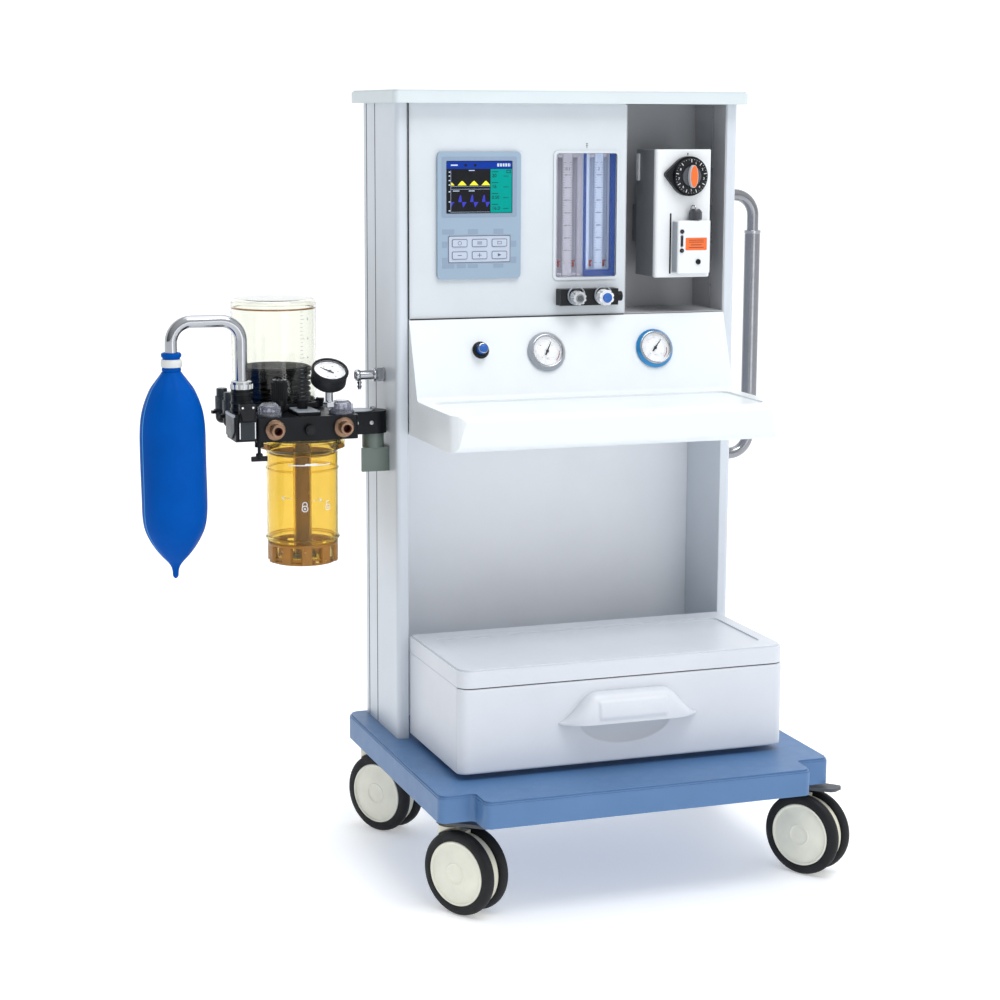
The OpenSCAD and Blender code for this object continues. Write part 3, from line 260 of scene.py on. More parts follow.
def circle(r, n=48, x=0, y=0):
    return [(x + r * math.cos(2 * math.pi * i / n), y + r * math.sin(2 * math.pi * i / n)) for i in range(n)]


def band(outer, inner, z0, z1):
    """Plate with a hole: two outlines with the same number of points."""
    n = len(outer)
    pts = [(x, y, z) for z in (z0, z1) for x, y in outer] + [(x, y, z) for z in (z0, z1) for x, y in inner]
    faces = []
    for i in range(n):
        j = (i + 1) % n
        faces += [(i, j, n + j, n + i), (2 * n + j, 2 * n + i, 3 * n + i, 3 * n + j), (n + i, n + j, 3 * n + j, 3 * n + i), (j, i, 2 * n + i, 2 * n + j)]
    return pts, faces


def sweep(path, radius, n=16, taper=None, cap=True):
    """Round tube along a path; taper gives a factor for each path point."""
    path = [Vector(p) for p in path]
    pts, faces = [], []
    normal = None
    for i, p in enumerate(path):
        t = (path[min(i + 1, len(path) - 1)] - path[max(i - 1, 0)]).normalized()
        if normal is None:
            normal = t.orthogonal().normalized()
        normal = (normal - t * t.dot(normal)).normalized()
        other = t.cross(normal)
        r = radius * (taper[i] if taper else 1)
        pts += [tuple(p + (normal * math.cos(2 * math.pi * k / n) + other * math.sin(2 * math.pi * k / n)) * r) for k in range(n)]
    for i in range(len(path) - 1):
        for k in range(n):
            faces.append((i * n + k, i * n + (k + 1) % n, (i + 1) * n + (k + 1) % n, (i + 1) * n + k))
    if cap:
        faces += [tuple(range(n - 1, -1, -1)), tuple((len(path) - 1) * n + k for k in range(n))]
    return pts, faces


def line(points, width, z0, z1):
    """Flat ribbon along 2D points."""
    out = []
    for a, b in zip(points[:-1], points[1:]):
        a, b = Vector(a), Vector(b)
        d = (b - a).normalized() * width / 2
        s = Vector((-d.y, d.x))
        out.append(prism([tuple(a - d - s), tuple(b + d - s), tuple(b + d + s), tuple(a - d + s)], z0, z1))
    return out


def at(shape, x=0, y=0, z=0, turn=0, flip=False):
    """Moves a shape inside its local frame, after turning it about local z."""
    pts, faces = shape
    c, s = math.cos(math.radians(turn)), math.sin(math.radians(turn))
    if flip:
        return [(c * px + s * py + x, s * px - c * py + y, -pz + z) for px, py, pz in pts], faces
    return [(c * px - s * py + x, s * px + c * py + y, pz + z) for px, py, pz in pts], faces


def warp(shape, f):
    return [tuple(f(*p)) for p in shape[0]], shape[1]


def around(shape, radius):
    """Wraps a flat shape round a local z cylinder: x runs round it, y becomes height, z stands off its surface."""
    def f(x, y, z):
        a = x / radius - math.pi / 2
        return (radius + z) * math.cos(a), (radius + z) * math.sin(a), y
    return warp(shape, f)


def ticks(count, r0, r1, width, z0, z1, start, stop, long_each=0, long_r=0):
    out = []
    for i in range(count):
        a = start + (stop - start) * i / (count - 1)
        inner = long_r if long_each and i % long_each == 0 else r0
        out.append(at(box(inner, r1, -width / 2, width / 2, z0, z1), turn=a))
    return out


def words(text, size, z0=0, z1=0.15, x=0, y=0, turn=0, align="CENTER"):
    curve = bpy.data.curves.new("words", "FONT")
    curve.body, curve.size, curve.resolution_u = text, size, 3
    curve.align_x, curve.align_y = align, "CENTER"
    curve.extrude = (z1 - z0) / 2
    obj = bpy.data.objects.new("words", curve)
    scene.collection.objects.link(obj)
    mesh = bpy.data.meshes.new_from_object(obj.evaluated_get(bpy.context.evaluated_depsgraph_get()))
    pts = [tuple(v.co) for v in mesh.vertices]
    faces = [tuple(p.vertices) for p in mesh.polygons]
    bpy.data.objects.remove(obj)
    bpy.data.meshes.remove(mesh)
    bpy.data.curves.remove(curve)
    return at((pts, faces), x, y, (z0 + z1) / 2, turn)


def put(name, shapes, place, material, body, slot=None, bevel=0, sharp=32, subsurf=0, solid=0, replaces=()):
    """Makes one piece from shapes given in local millimetres."""
    if isinstance(shapes, tuple):
        shapes = [shapes]
    pts, faces = [], []
    for p, f in shapes:
        base = len(pts)
        pts += [place @ Vector(q) for q in p]
        faces += [tuple(i + base for i in face) for face in f]
    mesh = bpy.data.meshes.new(name)
    mesh.from_pydata(pts, [], faces)
    bm = bmesh.new()
    bm.from_mesh(mesh)
    bmesh.ops.remove_doubles(bm, verts=bm.verts, dist=2e-6)
    bmesh.ops.dissolve_degenerate(bm, edges=bm.edges, dist=1e-6)
    bmesh.ops.recalc_face_normals(bm, faces=bm.faces)
    bm.to_mesh(mesh)
    bm.free()
    mesh.shade_smooth()
    mesh.set_sharp_from_angle(angle=math.radians(sharp))
    obj = bpy.data.objects.new(name, mesh)
    scene.collection.objects.link(obj)
    mesh.materials.append(material)
    if subsurf:
        m = obj.modifiers.new("subdivide", "SUBSURF")
        m.levels = m.render_levels = subsurf
    if solid:
        m = obj.modifiers.new("wall", "SOLIDIFY")
        m.thickness, m.offset = solid / 1000, -1
    if bevel:
        m = obj.modifiers.new("edge", "BEVEL")
        m.width, m.segments, m.limit_method, m.angle_limit = bevel / 1000, 3, "ANGLE", math.radians(sharp)
        m.harden_normals = True
    if body:
        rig.ride(obj, body)
    if slot:
        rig.slot(obj, slot)
    if replaces:
        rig.replaces(obj, *([replaces] if isinstance(replaces, str) else replaces))
    return obj


# ---- Materials -----------------------------------------------------------------------------


def srgb(r, g, b):
    return tuple(((c / 255) / 12.92 if c / 255 <= 0.04045 else ((c / 255 + 0.055) / 1.055) ** 2.4) for c in (r, g, b)) + (1,)


class Graph:
    def __init__(self, name):
        self.m = bpy.data.materials.new(name)
        self.m.use_nodes = True
        self.t = self.m.node_tree
        self.shader = self.t.nodes["Principled BSDF"]
        self.coords = self.node("ShaderNodeTexCoord").outputs["Object"]

    def node(self, kind, **values):
        n = self.t.nodes.new(kind)
        for k, v in values.items():
            setattr(n, k, v)
        return n

    def link(self, a, b):
        self.t.links.new(a, b)

    def noise(self, scale, detail=3, rough=0.5, stretch=None):
        n = self.node("ShaderNodeTexNoise")
        n.inputs["Scale"].default_value, n.inputs["Detail"].default_value = scale, detail
        n.inputs["Roughness"].default_value = rough
        source = self.coords
        if stretch:
            s = self.node("ShaderNodeMapping")
            s.inputs["Scale"].default_value = stretch
            self.link(self.coords, s.inputs["Vector"])
            source = s.outputs["Vector"]
        self.link(source, n.inputs["Vector"])
        return n.outputs["Fac"]

    def remap(self, value, lo, hi, a=0.3, b=0.7):
        n = self.node("ShaderNodeMapRange")
        n.inputs["From Min"].default_value, n.inputs["From Max"].default_value = a, b
        n.inputs["To Min"].default_value, n.inputs["To Max"].default_value = lo, hi
        self.link(value, n.inputs["Value"])
        return n.outputs["Result"]

    def math(self, op, a, b=0.0):
        n = self.node("ShaderNodeMath", operation=op)
        for i, v in enumerate((a, b)):
            if isinstance(v, (int, float)):
                n.inputs[i].default_value = v
            else:
                self.link(v, n.inputs[i])
        return n.outputs[0]

    def mix(self, factor, a, b, blend="MIX"):
        n = self.node("ShaderNodeMix", data_type="RGBA", blend_type=blend)
        for key, v in ((0, factor), (6, a), (7, b)):
            if isinstance(v, (int, float, tuple)):
                n.inputs[key].default_value = v
            else:
                self.link(v, n.inputs[key])
        return n.outputs[2]

    def split(self):
        n = self.node("ShaderNodeSeparateXYZ")
        self.link(self.coords, n.inputs[0])
        return n.outputs


def tint(color, k):
    return tuple(max(0, min(1, c * k)) for c in color[:3]) + (1,)


def surface(name, color, rough=0.4, metal=0.0, vary=0.05, grain=700, depth=0.05, spread=0.06, cloud=7, wear=0.0,
            crevice_shade=0.0, coat=0.0, brushed=None, clear=0.0, ior=None, second=None, zone=None, glow=0.0, speck=0.0, specular=0.5):
    """Procedural finish: tone drift, fine grain, roughness drift, painted shade in crevices (ambient occlusion) and
    worn edges as asked.
    """
    g = Graph(name)
    s = g.shader.inputs
    drift = g.noise(cloud, 4, 0.6)
    col = g.mix(g.remap(drift, 0, 1), tint(color, 1 - vary), tint(color, 1 + vary))
    if second:
        col2 = g.mix(g.remap(drift, 0, 1), tint(second, 1 - vary), tint(second, 1 + vary))
        col = g.mix(zone(g), col, col2)
    if speck:
        dots = g.remap(g.noise(grain * 1.7, 1), 1 - speck, 1 + speck * 0.3, 0.35, 0.65)
        n = g.node("ShaderNodeCombineColor")
        for i in range(3):
            g.link(dots, n.inputs[i])
        col = g.mix(1.0, col, n.outputs[0], "MULTIPLY")
    # Painted shade: darkens the colour where ambient occlusion finds geometry within 12 mm, in crevices and recesses,
    # in patches set by noise
    if crevice_shade:
        ao = g.node("ShaderNodeAmbientOcclusion", samples=4)
        ao.inputs["Distance"].default_value = 0.012
        shade = g.math("MULTIPLY", g.math("SUBTRACT", 1.0, ao.outputs["AO"]), g.remap(g.noise(45, 3), 0.4 * crevice_shade, crevice_shade))
        col = g.mix(shade, col, tint(color, 0.35))
    if wear:
        bev = g.node("ShaderNodeBevel", samples=3)
        bev.inputs["Radius"].default_value = 0.0015
        geo = g.node("ShaderNodeNewGeometry")
        dot = g.node("ShaderNodeVectorMath", operation="DOT_PRODUCT")
        g.link(bev.outputs["Normal"], dot.inputs[0])
        g.link(geo.outputs["Normal"], dot.inputs[1])
        edge = g.math("SUBTRACT", 1.0, dot.outputs["Value"])
        mask = g.math("MULTIPLY", g.remap(edge, 0, 1, 0.02, 0.2), g.remap(g.noise(160, 4), 0, wear, 0.42, 0.62))
        col = g.mix(mask, col, tint(color, 1.6) if sum(color[:3]) < 1.5 else tint(color, 0.7))
    g.link(col, s["Base Color"])
    g.link(g.remap(g.noise(38, 4, 0.6), max(0.02, rough - spread), min(1, rough + spread)), s["Roughness"])
    s["Metallic"].default_value = metal
    s["Specular IOR Level"].default_value = specular
    if coat:
        s["Coat Weight"].default_value = coat
        s["Coat Roughness"].default_value = 0.12
    if ior:
        s["IOR"].default_value = ior
    if clear:
        s["Transmission Weight"].default_value = clear
    if glow:
        g.link(col, s["Emission Color"])
        s["Emission Strength"].default_value = glow
    if depth:
        bump = g.node("ShaderNodeBump")
        bump.inputs["Strength"].default_value = depth
        bump.inputs["Distance"].default_value = 0.0006
        height = g.noise(grain, 2, 0.6, brushed) if brushed else g.noise(grain, 2, 0.6)
        g.link(height, bump.inputs["Height"])
        g.link(bump.outputs["Normal"], s["Normal"])
    return g.m


WHITE = srgb(236, 241, 244)
PANEL = srgb(213, 219, 225)
M = {
    "base": surface("blue_powder_coat", srgb(82, 121, 168), 0.42, vary=0.05, grain=1500, depth=0.12, spread=0.04, wear=0.35, crevice_shade=0.35, speck=0.05),
    "column": surface("white_extrusion_coat", srgb(210, 217, 225), 0.34, vary=0.02, grain=1400, depth=0.06, spread=0.03, wear=0.15, crevice_shade=0.4, brushed=(1, 1, 0.05)),
    "cover": surface("white_cover", srgb(212, 222, 225), 0.33, vary=0.02, grain=1100, depth=0.05, spread=0.02, crevice_shade=0.15, speck=0.02),
    "panel": surface("grey_textured_panel", PANEL, 0.5, vary=0.03, grain=1900, depth=0.22, crevice_shade=0.3, speck=0.04),
    "rear": surface("rear_sheet", srgb(246, 248, 252), 0.48, vary=0.02, grain=1700, depth=0.16, spread=0.03, crevice_shade=0.15, speck=0.03),
    "bay": surface("dark_bay_paint", srgb(182, 183, 187), 0.5, vary=0.04, grain=1500, depth=0.25, crevice_shade=0.4, speck=0.06),
    "shell": surface("white_moulding", WHITE, 0.3, vary=0.02, grain=1000, depth=0.05, spread=0.02, crevice_shade=0.15, speck=0.02),
    "storage": surface("storage_moulding", srgb(217, 221, 228), 0.34, vary=0.025, grain=1000, depth=0.06, spread=0.02, crevice_shade=0.2, speck=0.02),
    "tray": surface("drawer_tray_grey", srgb(180, 184, 190), 0.55, vary=0.04, grain=1300, depth=0.2, crevice_shade=0.4),
    "chrome": surface("polished_steel", srgb(172, 174, 178), 0.14, 1.0, vary=0.05, grain=500, depth=0.02, spread=0.05),
    "satin": surface("satin_steel", srgb(180, 182, 186), 0.3, 1.0, vary=0.04, grain=900, depth=0.08, spread=0.08, brushed=(1, 1, 0.03)),
    "handle": surface("handle_steel", srgb(146, 147, 152), 0.17, 1.0, vary=0.04, grain=900, depth=0.06, spread=0.08, brushed=(1, 1, 0.03)),
    "cream": surface("cream_nylon", srgb(226, 223, 204), 0.38, vary=0.05, grain=900, depth=0.08, wear=0.2, crevice_shade=0.6),
    "disc": surface("cream_wheel_disc", srgb(238, 237, 222), 0.34, vary=0.05, cloud=24, grain=900, depth=0.08, crevice_shade=0.6),
    "tyre": surface("black_tyre", srgb(27, 28, 31), 0.6, vary=0.2, cloud=30, grain=1200, depth=0.3, spread=0.1, speck=0.2, specular=0.3),
    "pedal": surface("pedal_nylon", srgb(72, 76, 82), 0.48, vary=0.1, grain=1300, depth=0.25, wear=0.4, crevice_shade=0.3),
    "bezel": surface("bezel_moulding", srgb(148, 170, 190), 0.4, vary=0.03, grain=1300, depth=0.1, spread=0.03, crevice_shade=0.3, speck=0.02),
    "rubber": surface("black_rubber", srgb(20, 22, 25), 0.6, vary=0.15, grain=1100, depth=0.25, spread=0.12, specular=0.3),
    "black": surface("black_anodised", srgb(11, 15, 20), 0.38, 0.1, vary=0.12, grain=1600, depth=0.12, wear=0.3, crevice_shade=0.3, specular=0.22),
    "dark": surface("dark_plastic", srgb(20, 22, 26), 0.4, vary=0.1, grain=1300, depth=0.18, wear=0.2, specular=0.25),
    "module": surface("module_paint", srgb(112, 118, 126), 0.5, vary=0.06, grain=1500, depth=0.2, crevice_shade=0.3),
    "bracket": surface("bracket_grey", srgb(106, 118, 112), 0.42, 0.2, vary=0.08, grain=1400, depth=0.15, wear=0.4, crevice_shade=0.3),
    "brass": surface("port_brass", srgb(142, 114, 94), 0.3, 0.9, vary=0.12, cloud=60, grain=1100, depth=0.08, spread=0.12),
    "red_inside": surface("port_seal_red", srgb(92, 30, 26), 0.5, vary=0.2, grain=1100, depth=0.2),
    "ink": surface("printed_ink", srgb(34, 38, 46), 0.5, vary=0.1, grain=1600, depth=0.1),
    "ink_white": surface("white_ink", srgb(238, 240, 242), 0.5, vary=0.03, grain=1600, depth=0.1),
    # Painted light: the gauge faces glow (glow 0.42) so they read bright behind their lenses
    "dial": surface("dial_face", srgb(244, 245, 245), 0.4, vary=0.02, grain=1200, depth=0.05, glow=0.42),
    "dial_ink": surface("dial_print", srgb(40, 42, 48), 0.5, vary=0.08, grain=1600, depth=0.05),
    "blue": surface("blue_plastic", srgb(26, 92, 176), 0.28, vary=0.08, cloud=60, grain=1200, depth=0.06),
    "blue_rim": surface("blue_rim", srgb(40, 138, 200), 0.25, 0.3, vary=0.08, cloud=60, grain=1200, depth=0.06, coat=0.4),
    "red": surface("red_plastic", srgb(196, 34, 28), 0.35, vary=0.1, cloud=60, grain=1200, depth=0.05),
    # Painted light: the orange filler label and dial grip glow slightly (glow 0.06)
    "orange": surface("orange_plastic", srgb(236, 106, 36), 0.4, vary=0.05, cloud=60, grain=1300, depth=0.1, glow=0.06),
    "knob_grey": surface("knob_grey", srgb(84, 87, 92), 0.45, vary=0.08, cloud=60, grain=1300, depth=0.15, specular=0.3),
    "enamel": surface("vaporizer_enamel", srgb(232, 235, 238), 0.3, vary=0.02, grain=1100, depth=0.06, spread=0.02, crevice_shade=0.25, wear=0.1, coat=0.2),
    # Painted highlight: pale grey for the highlight on the sides of the dial grip
    "grip_side": surface("grip_side", srgb(206, 208, 212), 0.4, vary=0.04, cloud=60, grain=1300, depth=0.1),
    "case": surface("vaporizer_case", srgb(128, 132, 138), 0.42, 0.2, vary=0.06, grain=1500, depth=0.2, wear=0.25, crevice_shade=0.3),
    "metal_dark": surface("knurled_grey_metal", srgb(98, 100, 105), 0.32, 0.8, vary=0.1, cloud=60, grain=1300, depth=0.1),
    "glass": surface("clear_glass", srgb(250, 251, 253), 0.05, vary=0.01, spread=0.02, grain=200, depth=0.0, clear=1.0, ior=1.12),
    "cover_clear": surface("clear_cover", srgb(250, 251, 253), 0.04, vary=0.01, spread=0.02, grain=200, depth=0.0, clear=1.0, ior=1.3),
    "dome": surface("dome_polymer", srgb(250, 250, 243), 0.045, vary=0.015, spread=0.02, grain=90, depth=0.015, clear=1.0, ior=1.38),
    "amber": surface("amber_polymer", srgb(247, 224, 140), 0.07, vary=0.03, cloud=14, spread=0.03, grain=300, depth=0.02, clear=0.97, ior=1.36),
    "amber_dark": surface("amber_tube", srgb(206, 150, 70), 0.22, vary=0.08, cloud=20, grain=600, depth=0.05, clear=0.55, ior=1.36),
    "valve": surface("clear_valve", srgb(226, 228, 238), 0.08, vary=0.03, spread=0.03, grain=300, depth=0.02, clear=0.85, ior=1.4),
    "knob_clear": surface("knob_clear", srgb(232, 235, 240), 0.15, vary=0.04, grain=600, depth=0.04, clear=0.4, ior=1.4),
    "white_soft": surface("white_nut", srgb(232, 235, 232), 0.35, vary=0.03, grain=900, depth=0.06, clear=0.15, ior=1.4),
    "plate_dark": surface("dark_plate", srgb(40, 46, 52), 0.34, 0.2, vary=0.08, grain=1300, depth=0.12, wear=0.3, specular=0.3),
    "elbow": surface("grey_elbow", srgb(52, 58, 62), 0.3, vary=0.08, grain=1000, depth=0.1, crevice_shade=0.4, specular=0.35),
    "plate_grey": surface("grey_plate", srgb(160, 166, 175), 0.38, vary=0.05, grain=1300, depth=0.12, spread=0.04, wear=0.2),
    # Painted light: the scale plates, the blue frame, the tube caps and the tube feet glow, brightening the inside of
    # the flow window housing
    "scale_left": surface("scale_plate_pink", srgb(196, 194, 208), 0.4, vary=0.03, grain=1200, depth=0.05, glow=0.16),
    "scale_right": surface("scale_plate_blue", srgb(196, 212, 240), 0.4, vary=0.03, grain=1200, depth=0.05, glow=0.24),
    "scale_frame": surface("scale_frame_blue", srgb(0, 66, 150), 0.35, vary=0.06, grain=1200, depth=0.05, glow=0.14, specular=0.2),
    "screen_back": surface("screen_black", srgb(8, 10, 16), 0.25, vary=0.2, grain=2400, depth=0.02, glow=0.2, specular=0.15),
    "screen_blue": surface("screen_blue", srgb(8, 44, 128), 0.3, vary=0.1, grain=2400, depth=0.02, glow=0.45, specular=0.1),
    "screen_teal": surface("screen_teal", srgb(0, 132, 124), 0.3, vary=0.06, grain=2400, depth=0.02, glow=0.45, specular=0.05),
    "screen_yellow": surface("screen_yellow", srgb(212, 208, 50), 0.3, vary=0.06, grain=2400, depth=0.02, glow=0.5, specular=0.1),
    "screen_violet": surface("screen_violet", srgb(50, 52, 160), 0.3, vary=0.06, grain=2400, depth=0.02, glow=0.5, specular=0.1),
    "screen_line": surface("screen_line", srgb(176, 190, 214), 0.3, vary=0.06, grain=2400, depth=0.02, glow=0.3),
    "key_face": surface("key_face", srgb(186, 196, 214), 0.42, vary=0.03, grain=1400, depth=0.1),
    "key_line": surface("key_line", srgb(72, 84, 104), 0.45, vary=0.06, grain=1400, depth=0.05),
    "key_area": surface("key_area", srgb(136, 155, 178), 0.42, vary=0.03, grain=1400, depth=0.1),
    "screw": surface("screw_steel", srgb(170, 172, 176), 0.28, 1.0, vary=0.1, cloud=90, grain=900, depth=0.08),
}


def finish_cad(name, key, bevel=0.8, angle=35, segments=3):
    obj = nodes[name]
    obj.data.materials.clear()
    obj.data.materials.append(M[key])
    if bevel is None:
        return
    w = obj.modifiers.new("weld", "WELD")
    w.merge_threshold = 2e-6
    if bevel:
        b = obj.modifiers.new("edge", "BEVEL")
        b.width, b.segments, b.limit_method, b.angle_limit = bevel / 1000, segments, "ANGLE", math.radians(angle)
        b.use_clamp_overlap = True
    n = obj.modifiers.new("normals", "WEIGHTED_NORMAL")
    n.weight, n.keep_sharp = 60, True


for name, key, bevel in [
    ("base_tray", "base", 3.6), ("left_column", "column", 0.7), ("right_column", "column", 0.7), ("top_cover", "cover", 1.6),
    ("back_panel", "rear", None), ("front_panel", "panel", 1.0), ("vaporizer_bay", "bay", 0.6), ("console", "shell", 2.5),
    ("storage_cabinet", "storage", 1.5), ("storage_lid", "storage", 4.0), ("drawer_tray", "tray", 0.6), ("side_handle", "handle", 0.5),
    ("brake_pedal_left", "pedal", 1.2), ("brake_pedal_right", "pedal", 1.2), ("display_bezel", "bezel", 1.2),
    ("flow_tubes", "glass", 0), ("nitrous_floats", "red", 0), ("oxygen_floats", "red", 0), ("flow_valve_block", "dark", 1.2),
    ("nitrous_knob", "knob_clear", 0.5), ("oxygen_knob", "ink_white", 0.5), ("air_gauge_needle", "ink", 0), ("oxygen_gauge_needle", "ink", 0),
    ("flush_button", "blue", 0.8), ("arm_bracket", "bracket", 1.0), ("support_arm", "black", 1.2), ("absorber_block", "black", 1.0),
    ("bellows_dome", "dome", 0), ("bellows_disc", "rubber", 0.8), ("bag_arm", "chrome", 0.5), ("canister", "amber", 0.8), ("canister_seal", "rubber", 0.5),
    ("airway_gauge_needle", "ink", 0), ("breathing_ports", "brass", 0.5), ("valve_domes", "valve", 0.4),
    ("pressure_limit_knob", "dark", 0.5), ("bag_vent_lever", "dark", 0.8), ("gas_fittings", "chrome", 0.4), ("ventilator_module", "module", 0.8),
    ("power_switch", "dark", 0.4), ("screws", "screw", 0), ("display_screen", "screen_back", 0.4), ("keypad", "key_face", 0.3),
    ("filler_cap", "metal_dark", 0.4),
] + [("caster_yoke_" + c, "cream", 1.5) for c in ("front_left", "front_right", "rear_left", "rear_right")]:
    finish_cad(name, key, bevel)

# ---- Casters -------------------------------------------------------------------------------

AXLE = (0.84943, 0.52770, 0)
tyre_ring = [(57, 10), (58, 9.2), (66, 9), (71, 10.5), (74.2, 14), (75, 18.5), (75, 19.5), (74.2, 24), (71, 27.5), (66, 29), (60, 29.2), (57.5, 28.6), (57, 27.5), (57, 10)]
disc_ring = [(0, 12), (57, 12), (57.2, 28.2), (56.2, 29.6), (54.6, 29.8), (53.6, 28.9), (52.6, 27.4), (50, 27.0), (40, 28.6), (24, 30.0),
             (20.4, 30.2), (19.6, 30.9), (18.2, 31.0), (17.4, 30.3), (16, 29.9), (8, 30.3), (0, 30.5)]
for side, where in ((-1, "left"), (1, "right")):
    for end, y in (("front", -299), ("rear", 190)):
        corner = end + "_" + where
        hub = axes(side * 330 + 19.0, y - 30.58, 75, (0, 0, 1), AXLE)
        tyres, discs = [], []
        for flip in (False, True):
            tyres.append(at(rev(tyre_ring, 96), flip=flip))
            discs.append(at(rev(disc_ring, 96), flip=flip))
        discs.append(rev([(0, -12), (6, -12), (6, 12), (0, 12)], 32))
        put("tyres_" + corner, tyres, hub, M["tyre"], "wheels_" + corner, "caster_tyre", sharp=50, replaces="caster_wheels_" + corner)
        put("wheel_discs_" + corner, discs, hub, M["disc"], "wheels_" + corner, "caster_cream", sharp=28)

# ---- Drawer face and pull ------------------------------------------------------------------


def drawer_face():
    """Front slab with round vertical corners and a shallow round finger recess."""
    xs = sorted(set([-311 + 17 * (1 - math.cos(math.pi / 2 * i / 8)) for i in range(9)] + [-294 + 588 * i / 280 for i in range(281)] +
                    [311 - 17 * (1 - math.cos(math.pi / 2 * i / 8)) for i in range(9)]))
    zs = [233, 233.8, 235, 237] + [237 + 145 * i / 96 for i in range(1, 96)] + [382, 384, 385.2, 386]

    def depth(x, z):
        d = 0.0
        over = abs(x) - 294
        if over > 0:
            d = 17 - math.sqrt(max(0, 289 - over * over))
        edge = min(z - 233, 386 - z)
        if edge < 4:
            d += 4 - math.sqrt(max(0, 16 - (4 - edge) ** 2))
        inside = max(0, 1 - (x / 88) ** 2 - ((z - 312) / 46) ** 2)
        d += 17 * inside ** 0.8
        return min(d, 17.9)
    pts, faces = [], []
    for z in zs:
        pts += [(x, -294 + depth(x, z), z) for x in xs]
    n, rows = len(xs), len(zs)
    for j in range(rows - 1):
        for i in range(n - 1):
            faces.append((j * n + i, j * n + i + 1, (j + 1) * n + i + 1, (j + 1) * n + i))
    loop = [i for i in range(n)] + [j * n + n - 1 for j in range(1, rows)] + [(rows - 1) * n + i for i in range(n - 2, -1, -1)] + [j * n for j in range(rows - 2, 0, -1)]
    base = len(pts)
    pts += [(pts[i][0], -276, pts[i][2]) for i in loop]
    m = len(loop)
    for k in range(m):
        faces.append((loop[k], base + k, base + (k + 1) % m, loop[(k + 1) % m]))
    faces.append(tuple(range(base, base + m)))
    return pts, faces


def drawer_pull():
    """Hooded pull with swept, pointed ends: an outer skin and an inner one, closed round the rim."""
    nu, nv = 132, 30
    pts, faces = [], []
    for skin in (0, 1):
        for i in range(nu + 1):
            x = -132 + 264 * i / nu
            k = abs(x)
            rise = 1.0 if k < 62 else 0.5 + 0.5 * math.cos(math.pi * min(1, (k - 62) / 72))
            low = 310
            top = low + 3 + 51 * rise
            reach = 1.5 + 29 * (1.0 if k < 78 else math.cos(math.pi / 2 * min(1, (k - 78) / 54)) ** 0.7)
            wall = 3.6 * skin
            for j in range(nv + 1):
                t = j / nv
                a = t * math.pi / 2
                out = reach * (math.sin(a) ** 0.62) * (1 - 0.10 * t * t) - wall * (0.25 + 0.75 * t)
                z = low + (top - low) * (math.cos(a) ** 0.85 if a < math.pi / 2 - 1e-6 else 0) - (wall * (1 - t) if top - low > 8 else 0)
                field = max(0, min(1, (66 - k) / 4)) * max(0, min(1, (z - low - 7) / 5)) * max(0, min(1, (top - 11 - z) / 5))
                out += 2.4 * field * (1 - skin)
                pts.append((x + 4, -294 - max(out, -0.5), max(z, low)))
    w = nv + 1
    half = (nu + 1) * w
    for i in range(nu):
        for j in range(nv):
            a, b, c, d = i * w + j, (i + 1) * w + j, (i + 1) * w + j + 1, i * w + j + 1
            faces += [(a, b, c, d), (half + d, half + c, half + b, half + a)]
        faces.append((i * w + nv, (i + 1) * w + nv, half + (i + 1) * w + nv, half + i * w + nv))
        faces.append(((i + 1) * w, i * w, half + i * w, half + (i + 1) * w))
    for e in (0, nu):
        for j in range(nv):
            faces.append((e * w + j, e * w + j + 1, half + e * w + j + 1, half + e * w + j))
    return pts, faces


put("drawer_face", drawer_face(), WORLD, M["storage"], "drawer", "shell_white", sharp=50, replaces="drawer_front")
put("drawer_pull", drawer_pull(), WORLD, M["storage"], "drawer", "shell_white", sharp=50)

# ---- Display -------------------------------------------------------------------------------

BX = -178.5
screen = front(BX, 1238, -4.5)
put("screen_header", prism(rect(-62, 62, 32.5, 46, 1), 0, 0.25), screen, M["screen_blue"], "trolley", "screen")
put("screen_numbers_field", prism(rect(21.5, 62, -46, 32, 0.5), 0, 0.25), screen, M["screen_teal"], "trolley", "screen")
put("screen_pressure_humps", [prism([(x - 8.5, 3.3), (x + 8.5, 3.3), (x + 1, 11), (x - 1, 11)], 0, 0.3) for x in (-32.6, -10, 12.5)] +
    [prism([(-53.5, 3.3), (-47, 3.3), (-51, 7.5), (-53.5, 8.5)], 0, 0.3)], screen, M["screen_yellow"], "trolley", "screen")
wave = []
for x in (-36, -13.5, 9):
    wave.append(prism([(x - 4, -26.5), (x + 2.6, -26.5), (x + 1.8, -15.5), (x + 0.4, -13.4), (x - 1.4, -15.5)], 0, 0.3))
    wave.append(prism([(x + 3, -26.5), (x + 4.6, -34), (x + 6, -36), (x + 12, -26.5)], 0, 0.3))
wave.append(prism([(-53.5, -26.5), (-53.5, -36), (-49, -28), (-46, -26.5)], 0, 0.3))
put("screen_flow_waves", wave, screen, M["screen_violet"], "trolley", "screen")
marks = [box(-58, -55, z - 1, z + 1, 0, 0.28) for z in (27, 20, 12, 4, -8, -26, -42)]
for z in (1.5, -3.6, -44.5):
    marks += line([(-54, z), (20, z)], 0.4, 0, 0.28)
marks += [box(-20, -9, 29, 30.4, 0, 0.28), box(-20, -9, -7.4, -6, 0, 0.28), box(-50, -38, -7.4, -6, 0, 0.28), box(-54.2, -53.8, -44.5, 30, 0, 0.28)]
put("screen_axes", marks, screen, M["screen_line"], "trolley", "screen")
digits = []
